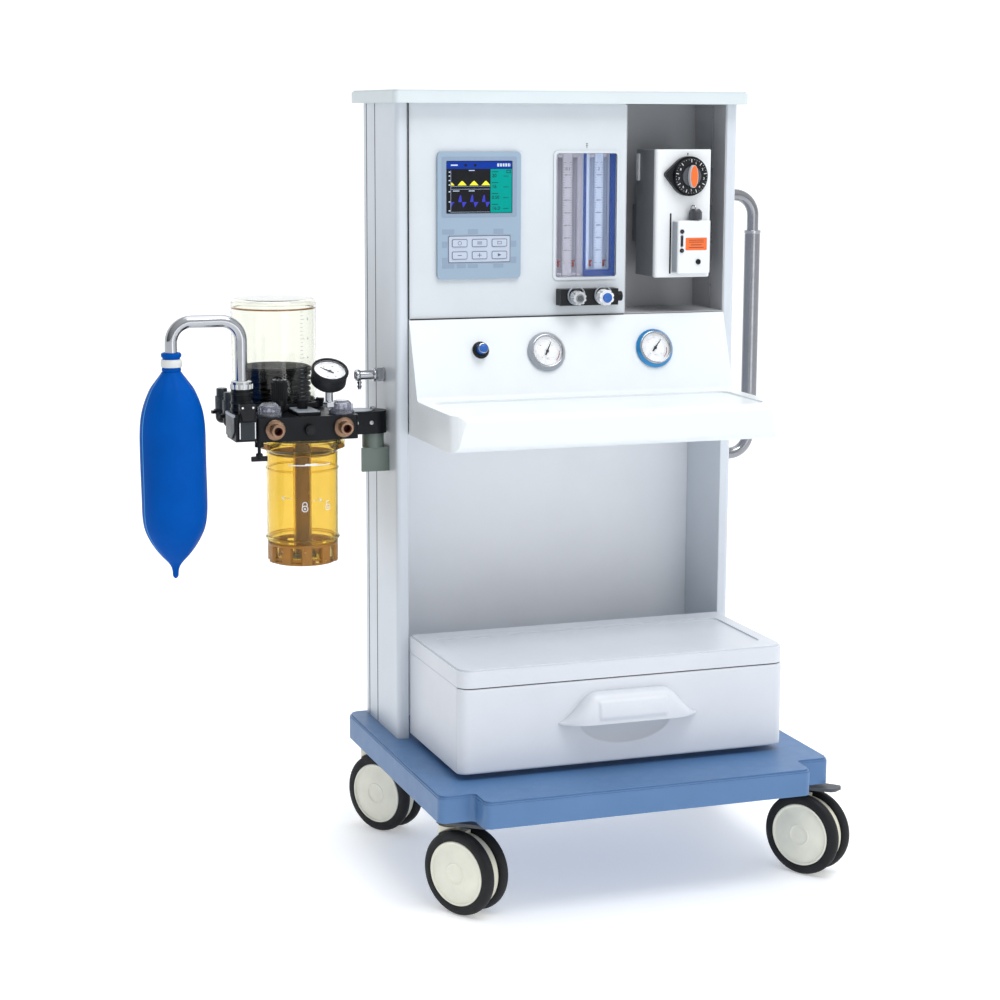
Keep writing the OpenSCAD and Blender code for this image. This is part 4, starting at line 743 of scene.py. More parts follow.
for i, (text, size) in enumerate((("20", 9), ("16", 9), ("0.50", 8.4), ("16.0", 9))):
    z = 20 - 19.4 * i
    digits.append(words(text, size, 0.25, 0.45, 24, z, align="LEFT"))
    digits += [box(24, 36, z + 6.6, z + 7.6, 0.25, 0.4), box(46, 56, z - 1, z - 0.2, 0.25, 0.4)]
digits.append(band(rect(52, 60, 25, 30.5), rect(53, 59, 26, 29.5), 0.25, 0.4))
put("screen_digits", digits, screen, M["screen_back"], "trolley", "screen")
put("screen_header_marks", [box(-54, -41, 38, 40.4, 0.25, 0.45), box(34, 60, 36.6, 42, 0.25, 0.45)], screen, M["screen_line"], "trolley", "screen")
put("screen_header_signs", [at(prism(circle(2.6, 20), 0.25, 0.45), x, 39) for x in (-26, -8)] + [box(38 + 5 * i, 39.4 + 5 * i, 36.6, 42, 0.45, 0.5) for i in range(5)],
    screen, M["screen_back"], "trolley", "screen")

panel = front(BX, 1127, -6.5)
frames, faces_, signs = [], [], []
for row in (0, 1):
    for col in (-1, 0, 1):
        x, z = col * 38, -11 + 22 * row
        faces_.append(at(prism(rounded(rect(-14, 14, -6.5, 6.5), 2), 0.7, 1.05), x, z))
        frames.append(at(band(rounded(rect(-14.5, 14.5, -7, 7), 2.4), rounded(rect(-13.6, 13.6, -6.1, 6.1), 1.8), 0.6, 1.2), x, z))
        k = row * 3 + col + 1
        if k == 0:
            signs.append(at(box(-4, 4, -0.5, 0.5, 1.0, 1.25), x, z))
        elif k == 1:
            signs += [at(box(-4, 4, -0.5, 0.5, 1.0, 1.25), x, z), at(box(-0.5, 0.5, -4, 4, 1.0, 1.25), x, z)]
        elif k == 2:
            signs.append(at(prism([(-3, -3), (3.5, 0), (-3, 3)], 1.0, 1.25), x, z))
        elif k == 3:
            signs.append(at(band(circle(3.6), circle(2.9), 1.0, 1.25), x, z))
        elif k == 4:
            signs += [at(box(-4.5, 4.5, -2.4, -1.6, 1.0, 1.25), x, z), at(box(-4.5, 4.5, -0.4, 0.4, 1.0, 1.25), x, z), at(box(-4.5, 4.5, 1.6, 2.4, 1.0, 1.25), x, z)]
        else:
            signs.append(at(band(rect(-4, 4, -2.6, 2.6), rect(-3.3, 3.3, -1.9, 1.9), 1.0, 1.25), x, z))
put("key_faces", faces_, panel, M["key_face"], "trolley", "keypad", bevel=0.3)
put("key_frames", frames, panel, M["key_line"], "trolley", "keypad")
put("key_signs", signs, panel, M["key_line"], "trolley", "keypad")
bezel = front(BX, 0, -6)
put("display_frame", band(rounded(rect(-71.5, 71.5, 1184, 1292), 3), rounded(rect(-63.2, 63.2, 1190.8, 1285.2), 2.2), -0.2, 0.3), bezel, M["key_area"], "trolley", "bezel_blue", bevel=0.15)
put("keypad_border", band(rounded(rect(-59.4, 59.4, 1102.6, 1151.4), 2.5), rounded(rect(-58.2, 58.2, 1103.8, 1150.2), 2), 0.4, 0.8), bezel, M["key_line"], "trolley", "keypad")
patches = [box(x0, x1, 1154, 1163, -0.1, 0.2) for x0, x1 in ((-71, -48), (-22, -3), (27, 46))]
patches += [box(x0, x1, 1093, 1100, -0.1, 0.2) for x0, x1 in ((-71, -48), (-43, -26), (-22, -3), (27, 46))]
patches += [box(x0, x1, z0, z1, -0.1, 0.2) for x0, x1 in ((-71, -61), (61, 71)) for z0, z1 in ((1101, 1112), (1130, 1141))]
put("bezel_patches", patches, bezel, M["key_area"], "trolley", "bezel_blue")

# Painted shade: a black strip in the seam between lid and drawer, for the shadow in the gap
put("lid_seam_shade_strip", prism(rounded(rect(-309.2, 309.2, -292.6, -60), [19, 19, 1, 1]), 386.1, 387.9), WORLD, M["rubber"], "trolley", "switch_black")

# Painted shade: dark strips where the panel meets the columns and the console, for the shadow in these joints; and dark
# strips in the column grooves
put("panel_gap_shade_strips", [box(-312, -310.4, -3.2, -1, 1003, 1386), box(-309, 107, -3.3, -0.4, 1001.1, 1002.8)], WORLD, M["rubber"], "trolley", "switch_black")
put("column_groove_strips", [box(side * 334 - 0.0 if side > 0 else -333.6, 333.6 if side > 0 else -334, y - 2.4, y + 2.4, 224, 1385) for side in (-1,) for y in (132, 187)], WORLD, M["dark"], "trolley", "switch_black")

# ---- Flow meters ---------------------------------------------------------------------------

WX = 31
win = front(WX, 1185)
put("flow_housing", [band(rounded(rect(-64, 64, -117, 117), 2), rounded(rect(-59, 59, -112, 112), 1), -46, -3.2), box(-64, 64, -117, 117, -46, -43.2)],
    win, M["panel"], "trolley", "window", replaces="flow_window")
# The scale plates glow: painted light inside the housing
put("scale_plate_left", [prism(rect(-58.5, -1.6, -111.5, 111.5), -37.4, -36)] + [box(x0, x1, -111.5, 111.5, -18.8, -17.8) for x0, x1 in ((-58.6, -50.6), (-39.4, -21.6), (-10.4, -1.6))],
    win, M["scale_left"], "trolley", "window")
put("scale_plate_right", [prism(rect(3, 58.5, -111.5, 111.5), -37.4, -36)] + [box(x0, x1, -99, 111.5, -18.8, -17.8) for x0, x1 in ((3, 12.4), (23.6, 39.4), (50.6, 52))],
    win, M["scale_right"], "trolley", "window")
put("scale_frame", [box(-3.4, 1.4, -111.8, 111.8, -8, -4.2), box(49, 58.9, -111.8, 111.8, -9, -4.2), box(1.4, 49, -111.8, -100, -8, -4.2)], win, M["scale_frame"], "trolley", "window", bevel=0.4)
put("window_cover", prism(rounded(rect(-59.5, 59.5, -112.5, 112.5), 5), -1.8, 0.6), win, M["cover_clear"], "trolley", "window", bevel=0.6)
graduations, figures = [], []
for i, x in enumerate((-45, -16, 18, 45)):
    side = -1 if i % 2 else 1
    edge = x + side * 6.2
    for k in range(41):
        z = -88 + 4.6 * k
        reach = 4.6 if k % 5 == 0 else 2.4
        graduations.append(box(min(edge, edge + side * reach), max(edge, edge + side * reach), z - 0.3, z + 0.3, -17.8, -17.5))
    for k in range(1, 8):
        figures.append(words(str(k if i % 2 else k * 10), 4.4, -17.8, -17.5, edge + side * 5.6, -88 + 23 * k))
for x, text in ((-30, "0.1"), (31, "2")):
    figures.append(words(text, 8, -17.8, -17.4, x, 84))
put("scale_graduations", graduations, win, M["ink"], "trolley", "window")
put("scale_figures", figures, win, M["ink"], "trolley", "window")
put("tube_caps", [at(rev([(0, 0), (8.2, 0), (8.6, 0.6), (8.6, 5.4), (8.2, 6), (0, 6)], 32), x - WX, 0) for x in (-14, 15, 49, 76)],
    axes(WX, 26, 1290.2), M["scale_left"], "trolley", "valve_dark")
put("tube_feet", [at(rev([(5.2, 0), (6.6, 0), (6.6, 5), (5.2, 5), (5.2, 0)], 32), x - WX, 0) for x in (-14, 15, 49, 76)],
    axes(WX, 26, 1074.2), M["scale_left"], "trolley", "valve_dark")
put("panel_mark", [box(-0.5, 0.5, -5, 3, 0, 0.25), box(-2.2, 2.2, 3, 3.8, 0, 0.25), box(-2.2, 2.2, -0.6, 0.1, 0, 0.25)],
    front(WX, 1312), M["ink"], "trolley", "panel_grey")

# Needle valves: guard rings, spindle collars and knob centres
valve = front(0, 1036.5, -24)
put("valve_guards", [at(rev([(15.6, 0.1), (17.0, 0.1), (17.4, 0.8), (17.4, 3.6), (17.0, 4.4), (15.6, 4.4), (15.6, 0.1)], 64), x, 3.5) for x in (3, 56)], valve, M["plate_grey"], "trolley", "window")
put("oxygen_knob_centre", rev([(0, 21.9), (8.6, 21.9), (9, 22.4), (9, 23.8), (8.2, 24.6), (0, 24.9)], 40), front(56, 1036.5, -24.5), M["blue"], "oxygen_valve", "button_blue")
put("nitrous_knob_centre", [rev([(0, 21.9), (5.2, 21.9), (5.6, 22.3), (5.6, 23.2), (5, 23.8), (0, 24)], 40), band(circle(7.4, 32), circle(6.6, 32), 21.9, 22.3)], front(3, 1036.5, -24.5), M["knob_grey"], "nitrous_valve", "valve_dark")

# ---- Vaporizer -----------------------------------------------------------------------------

put("bay_trim", box(307.4, 309.7, 53.6, 56.4, 1004, 1384), WORLD, M["satin"], "trolley", "bay_dark", bevel=0.3)
shell = rounded([(161, -20), (273, -20), (273, -8), (161, -8)], [6, 6, 0, 0], 8)
put("vaporizer_shell", prism(shell, 1069, 1305), WORLD, M["enamel"], "trolley", "vaporizer_coat", bevel=2.4, replaces="vaporizer_body")
core = rounded([(161.8, -7.9), (272.2, -7.9), (272.2, 78), (161.8, 78)], [0, 0, 6, 6], 6)
put("vaporizer_case", [prism(core, 1070, 1304), box(181, 253, 78, 137.8, 1129, 1199)], WORLD, M["case"], "trolley", "bay_dark", bevel=1.4)
fill = rounded([(196, -19), (196, -44), (267, -44), (267, -19)], [0, 4, 15, 0], 8)
put("filler_housing", prism(fill, 1077, 1175), WORLD, M["enamel"], "trolley", "vaporizer_coat", bevel=2.2)
put("filler_groove", prism(rounded(rect(-3.2, 3.2, -11.5, 11.5), 3.1), -0.8, 0.35), front(204.5, 1137.5, -44), M["plate_grey"], "trolley", "valve_dark", bevel=0.3)
put("sight_glass", prism(rounded(rect(-2.1, 2.1, -10, 10), 2), 0.35, 1.1), front(204.5, 1137.5, -44), M["cover_clear"], "trolley", "window", bevel=0.3)
label = front(233.5, 1132, -44)
put("filler_label", prism(rounded(rect(-21.5, 21.5, -11.5, 11.5), 1.5), 0.0, 0.35), label, M["orange"], "trolley", "dial_dark", bevel=0.15)
put("filler_label_lines", [box(-15, 15, z - 0.5, z + 0.5, 0.35, 0.5) for z in (7, 3.4, -6.5)] + [box(-11, 11, -2.2, -1.2, 0.35, 0.5)], label, M["ink"], "trolley", "dial_dark")
put("drain_plug", [rev([(0, 0), (5, 0), (5, 1.5), (4.2, 2.6), (1.4, 2.6), (1.4, 1.4), (0, 1.4)], 32)], front(238, 1099, -44), M["dark"], "trolley", "valve_dark", bevel=0.2)
put("filler_screws", [at(rev([(0, 0), (4, 0), (4, 1.6), (3.4, 2.4), (1.4, 2.4), (1.4, 1.0), (0, 1.0)], 32), 0, z) for z in (-17.5, 17.5)],
    front(204.5, 1137.5, -44), M["dark"], "trolley", "valve_dark")
# Painted shade: a flat dark strip on the shell's front for the shadow in the gap beside the filler housing
put("vaporizer_gap_shade", [prism(rounded(rect(-1.6, 1.6, -56, 56), 1.5), -0.2, 0.3)], front(191.5, 1132, -20), M["dark"], "trolley", "bay_dark")
# Painted shade: a grey sheet over the filler housing's left side, for that side in shade
put("filler_side_shade", box(195.4, 196, -42, -20.5, 1080, 1172), WORLD, M["plate_grey"], "trolley", "bay_dark")
put("vaporizer_bracket", [prism(rounded(rect(-6, 6, -25, 25), 2), -9, 1.5), at(rev([(0, 1.5), (2.4, 1.5), (2, 3), (0, 3)], 20), 0, 12), at(rev([(0, 1.5), (2.4, 1.5), (2, 3), (0, 3)], 20), 0, -12)],
    axes(160, 64, 1271, (0, -1, 0), (-1, 0, 0)), M["enamel"], "trolley", "vaporizer_coat", bevel=0.8)

dial = front(224, 1256, -20.5)


def guard(grow):
    """Teardrop round the dial: a large circle and a small one, joined by their common tangents."""
    big, small, x, z = 36.5 + grow, 6 + grow, -42, 3.4
    lean = math.atan2(z, x)
    half = math.acos((big - small) / math.hypot(x, z))
    out = [(big * math.cos(a), big * math.sin(a)) for a in [lean + half + (2 * math.pi - 2 * half) * i / 80 for i in range(81)]]
    return out + [(x + small * math.cos(a), z + small * math.sin(a)) for a in [lean - half + 2 * half * i / 16 for i in range(17)]]


tear = guard(0)
near = [(33.6 * math.cos(math.atan2(y, x)), 33.6 * math.sin(math.atan2(y, x))) for x, y in tear]
put("dial_guard", band(tear, near, 0.2, 11), front(224, 1256, -20), M["dark"], "trolley", "dial_dark", bevel=0.6, sharp=40)
put("dial_skirt", rev([(0, 0), (32.4, 0), (33, 0.8), (33, 15.4), (32.4, 17.2), (31, 18), (19.4, 18), (19.2, 17.2), (0, 17.2)], 96),
    dial, M["dark"], "dial", "dial_dark", replaces="vaporizer_dial")
put("dial_spindle", rev([(0, -13), (6, -13), (6, 1), (0, 1)], 32), dial, M["metal_dark"], "dial", "cap_metal")
marks_ = []
for i in range(36):
    r0, r1, w = (25.6, 31.4, 1.1) if i % 4 == 0 else (30.0, 31.4, 0.4)
    marks_.append(at(box(r0, r1, -w / 2, w / 2, 17.9, 18.3), turn=90 - 10 * i))
for i in range(8):
    a = math.radians(70 - 40 * i)
    marks_.append(at(words(str(i + 1), 6.0, 17.9, 18.3), 25.4 * math.cos(a), 25.4 * math.sin(a), 0))
put("dial_marks", marks_, dial, M["ink_white"], "dial", "dial_dark")
outline = [((18.4 + 0.5 * math.cos(36 * 2 * math.pi * i / 288)) * math.cos(2 * math.pi * i / 288), (18.4 + 0.5 * math.cos(36 * 2 * math.pi * i / 288)) * math.sin(2 * math.pi * i / 288)) for i in range(288)]
put("dial_knob", prism(outline, 17.2, 21), dial, M["knob_grey"], "dial", "dial_dark", bevel=0.6, sharp=40)
oval = [(7.4 * math.cos(2 * math.pi * i / 64), 20.4 * math.sin(2 * math.pi * i / 64)) for i in range(64)]
# Pale grip sides: painted highlight
put("dial_grip_side", prism([(x * 1.12, y * 1.01) for x, y in oval], 20.9, 31), dial, M["grip_side"], "dial", "dial_dark", bevel=0.8, sharp=50)
put("dial_grip", prism([(x * 0.94, y * 0.96) for x, y in oval], 30.9, 32.2), dial, M["orange"], "dial", "dial_dark", bevel=0.6, sharp=50)
put("dial_pointer", box(-0.9, 0.9, 38, 42.4, -0.2, 0.4), front(224, 1256, -20), M["ink"], "trolley", "vaporizer_coat")

cap = axes(236, -33, 1176.2)
knurl = [((11.6 + 0.55 * math.cos(36 * 2 * math.pi * i / 288)) * math.cos(2 * math.pi * i / 288), (11.6 + 0.55 * math.cos(36 * 2 * math.pi * i / 288)) * math.sin(2 * math.pi * i / 288)) for i in range(288)]
put("cap_knurl", [prism(knurl, 0, 15), rev([(0, 15), (11, 15), (10.4, 17.2), (8.2, 18.6), (7.6, 20), (0, 20.4)], 48), rev([(0, -15), (6, -15), (6, 0.5), (0, 0.5)], 32)],
    cap, M["metal_dark"], "cap", "cap_metal", bevel=0.4, sharp=40, replaces="filler_cap")
hook = [(0, 0, 20), (0, 1, 23), (-1, 3, 25.5), (-3.5, 5, 26), (-6, 5.5, 24), (-7, 5, 20), (-6.5, 4, 17.2)]
put("cap_hook", sweep(hook, 1.3, 12), cap, M["chrome"], "cap", "dial_dark")

# ---- Gauges and flush button on the sloped face ----------------------------------------------


def pressure_gauge(name, x, rim, first):
    place = slope(x, 938)
    body = rev([(0, -40), (6, -40), (6, -28), (23.4, -27.8), (23.4, 0.2), (24, 0.4), (27.6, 0.6), (27.6, 4), (2.06, 4), (2.06, 2), (0, 2)], 64)
    put(name + "_body", body, place, M["satin"], "trolley", "gauge_metal", sharp=30, replaces="panel_gauges" if first else ())
    put(name + "_rim", rev([(30.8, 0.2), (36, 0.2), (36.6, 1.2), (36.6, 3.4), (35.8, 5), (34, 6.6), (31.6, 9.6), (30.8, 9.8), (30.8, 0.2)], 96), place, rim, "trolley", "gauge_metal", sharp=40)
    put(name + "_bezel", rev([(27.4, 0.4), (31.2, 0.4), (31.4, 10.6), (30.8, 11.6), (29.6, 12), (28.4, 11.6), (27.8, 10.4), (27.4, 10.2), (27.4, 0.4)], 96), place, M["chrome"], "trolley", "gauge_metal", sharp=40)
    # Gauge face with painted light: its finish glows
    put(name + "_face", rev([(2.2, 4), (27.5, 4), (27.5, 4.5), (2.2, 4.5), (2.2, 4)], 64), place, M["dial"], "trolley", "gauge_metal")
    t = ticks(31, 22.4, 25.2, 0.35, 4.5, 4.65, 225, -45, 5, 20.6)
    t += line([(19.6 * math.cos(math.radians(a)), 19.6 * math.sin(math.radians(a))) for a in range(225, -46, -9)], 0.35, 4.5, 4.62)
    for k in range(4):
        a = math.radians(225 - 90 * k)
        t.append(words(str(k * 4), 4.6, 4.5, 4.62, 15.6 * math.cos(a), 15.6 * math.sin(a)))
    t += [box(-4, 4, -12.6, -12.1, 4.5, 4.62), box(-2.5, 2.5, -14.6, -14.1, 4.5, 4.62)]
    put(name + "_scale", t, place, M["dial_ink"], "trolley", "needle_black")
    put(name + "_red_arc", line([(23.8 * math.cos(math.radians(a)), 23.8 * math.sin(math.radians(a))) for a in range(0, -46, -5)], 1.5, 4.52, 4.72), place, M["red"], "trolley", "float_red")
    put(name + "_hub", rev([(0, 7.2), (2.9, 7.2), (3.1, 7.5), (2.4, 8.2), (0, 8.4)], 32), place, M["ink"], "air_needle" if first else "oxygen_needle", "needle_black")
    put(name + "_lens", rev([(0, 9.9), (14, 9.8), (27.3, 9.0), (27.3, 10.1), (14, 10.9), (0, 11.0)], 64), place, M["cover_clear"], "trolley", "window", sharp=40)


pressure_gauge("air_gauge", -55, M["plate_grey"], True)
pressure_gauge("oxygen_gauge", 160, M["blue_rim"], False)

spot = slope(-183, 944)
put("button_collar", rev([(9.7, 3.1), (16, 3.1), (16, 4.2), (14.8, 6.2), (12.4, 7.6), (11, 7.9), (9.9, 7.6), (9.7, 6.8), (9.7, 3.1)], 64), spot, M["satin"], "trolley", "gauge_metal", sharp=40)
put("button_shade", rev([(11.4, 7.6), (15.4, 5.4), (15.9, 5.6), (15.9, 6.4), (13.4, 9.4), (11.6, 10.4), (10.4, 10.3), (10.2, 9.2), (11.4, 7.6)], 64), spot, M["dark"], "trolley", "dial_dark", sharp=40)
put("button_top", [rev([(0, 22), (7.6, 22), (8.1, 22.5), (7.6, 23.2), (4, 23.8), (0, 24)], 48)], spot, M["blue"], "flush", "button_blue", sharp=40)
put("button_ring", rev([(7.9, 21.6), (9.2, 21.6), (9.4, 22.2), (9, 23), (8.2, 23.2), (7.9, 22.6), (7.9, 21.6)], 48), spot, M["chrome"], "flush", "button_blue", sharp=40)

# ---- Breathing system ----------------------------------------------------------------------

BS = "breathing_system"
TOP = 835
# Arm: light top plate and a clamp knob
put("arm_top_plate", prism(rounded([(-407, 42), (-362, 42), (-362, 90), (-407, 90)], [1, 22, 22, 1], 8), 832.1, 834), axes(0, 0, 0), M["plate_grey"], BS, "bracket_grey", bevel=0.6)
put("arm_end_screw", rev([(0, 0), (5.5, 0), (5.5, 3), (4.6, 4), (2.4, 4), (2.4, 2), (0, 2)], 6), axes(-360, 66, 834), M["screw"], BS, "screw_steel", bevel=0.3, sharp=30)
put("arm_side_screws", [at(rev([(0, 0), (4, 0), (3.6, 2), (1.6, 2.2), (1.6, 1.2), (0, 1.2)], 24), x, 0) for x in (-14, 14)], axes(-384, 41, 812, (1, 0, 0), (0, -1, 0)), M["screw"], BS, "screw_steel")

# Seat ring and clamp of the dome
dome_c = (-522, 158)
put("dome_clamp", rev([(81.2, 835), (86, 835), (87, 836.4), (87, 844), (86, 846.4), (83.6, 847.4), (81.4, 846), (81.2, 835)], 96), axes(*dome_c, 0), M["dark"], BS, "block_black", sharp=35)
put("dome_rim", rev([(70.5, 1018.4), (73, 1018.5), (75.2, 1017.6), (76.4, 1016), (75.6, 1015.6), (72.6, 1017.2), (70.5, 1018.4)], 96), axes(*dome_c, 0), M["amber_dark"], BS, "dome_clear", sharp=60)
put("dome_lugs", [at(prism(rounded(rect(-7, 7, -5, 5), 2), 836, 852), 87 * math.cos(math.radians(a)), 87 * math.sin(math.radians(a)), 0, turn=a) for a in (30, 150, 210, 330)],
    axes(*dome_c, 0), M["dark"], BS, "block_black", bevel=1.0)
put("dome_scale", [around(box(x - 1, x + 5 + (4 if k % 5 == 0 else 0), 20 + 7 * k - 0.35, 20 + 7 * k + 0.35, 0.0, 0.25), 78.0) for k in range(23) for x in (34,)] +
    [around(words(str(2 * k), 7, 0.0, 0.25, 52, 20 + 35 * k, align="CENTER"), 78.0) for k in range(1, 5)], axes(*dome_c, 839), M["plate_grey"], BS, "block_black")

# Bellows: a convoluted rubber wall that stretches between the seat and the top plate
folds = [(44, 843.4)]
for k in range(6):
    z = 843.4 + 9.6 * k
    folds += [(58, z + 0.2), (63, z + 0.9), (66.4, z + 2.4), (67, z + 4.2), (66.4, z + 6.0), (63, z + 7.6), (60, z + 8.6), (58.6, z + 9.4)]
folds += [(44, 901.0), (44, 843.4)]
bell = put("bellows_wall", rev(folds, 96), axes(*dome_c, 0), M["rubber"], None, "bellows_rubber", sharp=60, replaces="bellows_folds")
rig.blend(bell, BS, "bellows_plate", start=tuple(mm(*dome_c, 843.4)), end=tuple(mm(*dome_c, 901.0)))

# Top of the block: cap plate, adjuster, valve covers
put("cap_plate", prism(rounded([(-518, 3), (-475, 3), (-479, 71), (-518, 71)], [4, 4, 8, 8], 6), 840.1, 842.4), axes(0, 0, 0), M["plate_grey"], BS, "bracket_grey", bevel=0.8)
knob = [((9 + 0.6 * math.cos(18 * 2 * math.pi * i / 180)) * math.cos(2 * math.pi * i / 180), (9 + 0.6 * math.cos(18 * 2 * math.pi * i / 180)) * math.sin(2 * math.pi * i / 180)) for i in range(180)]
put("adjuster_ribs", [prism(knob, 844, 858)], axes(-498, 46, 0), M["dark"], BS, "knob_black", bevel=0.8, sharp=40)
for k, x in enumerate((-565, -431)):
    post = axes(x, 24, 0)
    put(f"valve_ring_{k + 1}", rev([(18.2, 835.1), (22.6, 835.1), (23, 836), (23, 839.4), (22.2, 840.6), (18.2, 840.6), (18.2, 835.1)], 64), post, M["valve"], BS, "valve_clear", sharp=40)
    put(f"valve_ribs_{k + 1}", [at(prism(rounded(rect(-2.0, 2.0, -1.3, 1.3), 1.0), 840, 851), 19.2 * math.cos(math.pi * m / 6), 19.2 * math.sin(math.pi * m / 6), 0, turn=30 * m) for m in range(12)],
        post, M["valve"], BS, "valve_clear", bevel=0.4)
    put(f"valve_flap_{k + 1}", rev([(0, 842), (11, 842), (11.4, 842.6), (11, 843.4), (3, 844), (2.4, 847), (0, 847.4)], 48), post, M["ink_white"], BS, "valve_clear", sharp=40)

# Airway gauge on its stem
tilt = math.radians(32)
ag = axes(-459, 4, 905, (1, 0, 0), (0, -math.sin(tilt), math.cos(tilt)))
put("airway_body", [rev([(0, -20), (23, -20), (25.5, -18.6), (31.4, -13), (32, -12), (32, 8), (28.4, 9), (0, 9)], 96)], ag, M["dark"], BS, "gauge_black", sharp=40, replaces="airway_gauge")
put("airway_stem", rev([(0, 12), (7, 12), (7, 34), (0, 34)], 48), axes(-459, 4, 849.2), M["chrome"], BS, "fitting_chrome", sharp=40)
put("airway_lens", rev([(0, 12.2), (14, 12.1), (28.3, 11.6), (28.3, 12.6), (14, 13.2), (0, 13.4)], 64), ag, M["cover_clear"], BS, "window", sharp=40)
put("airway_rim", rev([(28.2, 9), (33.2, 9), (33.8, 10), (33.8, 13), (32.8, 15), (30.8, 16.2), (29, 15.8), (28.4, 14.4), (28.2, 9)], 96), ag, M["dark"], BS, "gauge_black", sharp=40)
put("airway_face", rev([(2.2, 9.0), (28, 9.0), (28, 9.3), (2.2, 9.3), (2.2, 9.0)], 64), ag, M["dial"], BS, "gauge_metal")
t = ticks(41, 22.6, 25.8, 0.4, 9.3, 9.45, 240, -60, 5, 20.8)
for k in range(6):
    a = math.radians(240 - 60 * k)
    t.append(words(str(k * 20 - 20), 4.6, 9.3, 9.42, 16 * math.cos(a), 16 * math.sin(a)))
put("airway_scale", t, ag, M["dial_ink"], BS, "needle_black")
put("airway_hub", rev([(0, 10.4), (3, 10.4), (3.2, 10.8), (2.4, 11.3), (0, 11.4)], 32), ag, M["ink"], "airway_needle", "needle_black")
put("airway_stem_nut", rev([(0, 0), (11.5, 0), (12, 0.8), (12, 8.6), (11.2, 9.6), (7.4, 9.8), (7.4, 12), (0, 12)], 6), axes(-459, 4, 849.2), M["chrome"], BS, "fitting_chrome", bevel=0.5, sharp=30)

# Ports with collars and dark seals
for k, x in enumerate((-563, -437)):
    p = axes(x, -12, 814, (1, 0, 0), (0, -1, 0))
    put(f"port_flange_{k + 1}", rev([(11.3, 0.1), (17.6, 0.1), (18.4, 1), (18.4, 4), (17.4, 5.4), (14.2, 6.2), (11.3, 6.4), (11.3, 0.1)], 64), p, M["brass"], BS, "port_brass", sharp=35)
    put(f"port_bead_{k + 1}", rev([(11.02, 22.4), (11.5, 22.6), (11.9, 23.4), (11.9, 24.8), (11.5, 25.6), (7.6, 26.2), (7.52, 25), (11.02, 22.4)], 64), p, M["brass"], BS, "port_brass", sharp=50)
    put(f"port_seal_{k + 1}", rev([(0, 3), (7.4, 3), (7.4, 23.5), (6.6, 23.5), (6.6, 4), (0, 4)], 48), p, M["red_inside"], BS, "seal_rubber", sharp=35)
put("middle_knob", [prism(knob, 0, 10), rev([(0, 9.8), (7, 9.8), (6.4, 11.4), (0, 12)], 32)], axes(-500, -12.1, 812, (1, 0, 0), (0, -1, 0)), M["dark"], BS, "knob_black", bevel=0.7, sharp=40)
# Left side: grey plate with bright edges under the selector, grey side cover, elbow clips
side_plate = axes(-613, -12, 818, (1, 0, 0), (0, -1, 0))
put("selector_plate", prism(rounded([(-14, -20), (14, -20), (14, 12), (-14, 12)], 3), 0.1, 2.2), side_plate, M["plate_dark"], BS, "lever_grey", bevel=0.5)
put("selector_edges", [box(-14.6, -13, -18, 11, 0.4, 2.8), box(13, 14.6, -18, 11, 0.4, 2.8)], side_plate, M["ink_white"], BS, "lever_grey", bevel=0.3)
put("selector_dots", [at(rev([(0, 6.3), (1.9, 6.3), (1.9, 6.7), (0, 6.9)], 24), x, z) for x, z in ((-9.5, 8), (9.5, 8))], axes(-613, -12.5, 848, (1, 0, 0), (0, -1, 0)), M["ink_white"], "lever", "lever_grey")
left = axes(-633, 0, 0, (0, -1, 0), (-1, 0, 0))
put("side_cover", prism(rounded([(-60, 800), (-20, 796), (6, 812), (6, 840), (-60, 840)], [3, 6, 6, 3, 3]), 0.1, 3), left, M["plate_dark"], BS, "bracket_grey", bevel=0.8)
put("side_cover_edge", prism(rounded([(-60, 837), (6, 837), (6, 842), (-60, 842)], 1.5), 0.2, 3.4), left, M["plate_grey"], BS, "bracket_grey", bevel=0.6)
for k, y in enumerate((112, 176)):
    put(f"elbow_clip_{k + 1}", [rev([(12.3, 0), (15, 0), (15.4, 0.6), (15.4, 7.4), (15, 8), (12.3, 8), (12.3, 0)], 48), at(box(14, 22, -3.5, 3.5, 1, 7), turn=200)],
        axes(-617, y, 822), M["dark"], BS, "knob_black", bevel=0.5, sharp=40)
    put(f"elbow_body_{k + 1}", [sweep([(20, 0, -24 + 0), (12, 0, -24), (5, 0, -22.5), (1.5, 0, -18), (0, 0, -10), (0, 0, 0), (0, 0, 12)], 12.6, 32), rev([(0, 12), (10, 12), (10, 25), (9, 26.4), (0, 26.4)], 40)],
        axes(-617, y, 842.5), M["elbow"], BS, "shell_white", sharp=45)

# Thumb screw of the canister lock
put("thumb_screw_wing", [prism(rounded(rect(-15, 15, -3, 3), 2.8), -6, 3), rev([(0, 2), (6.6, 2), (6, 8), (3.4, 8.6), (0, 8.6)], 32)], axes(-588, 6, 762), M["dark"], BS, "knob_black", bevel=1.0, sharp=40)

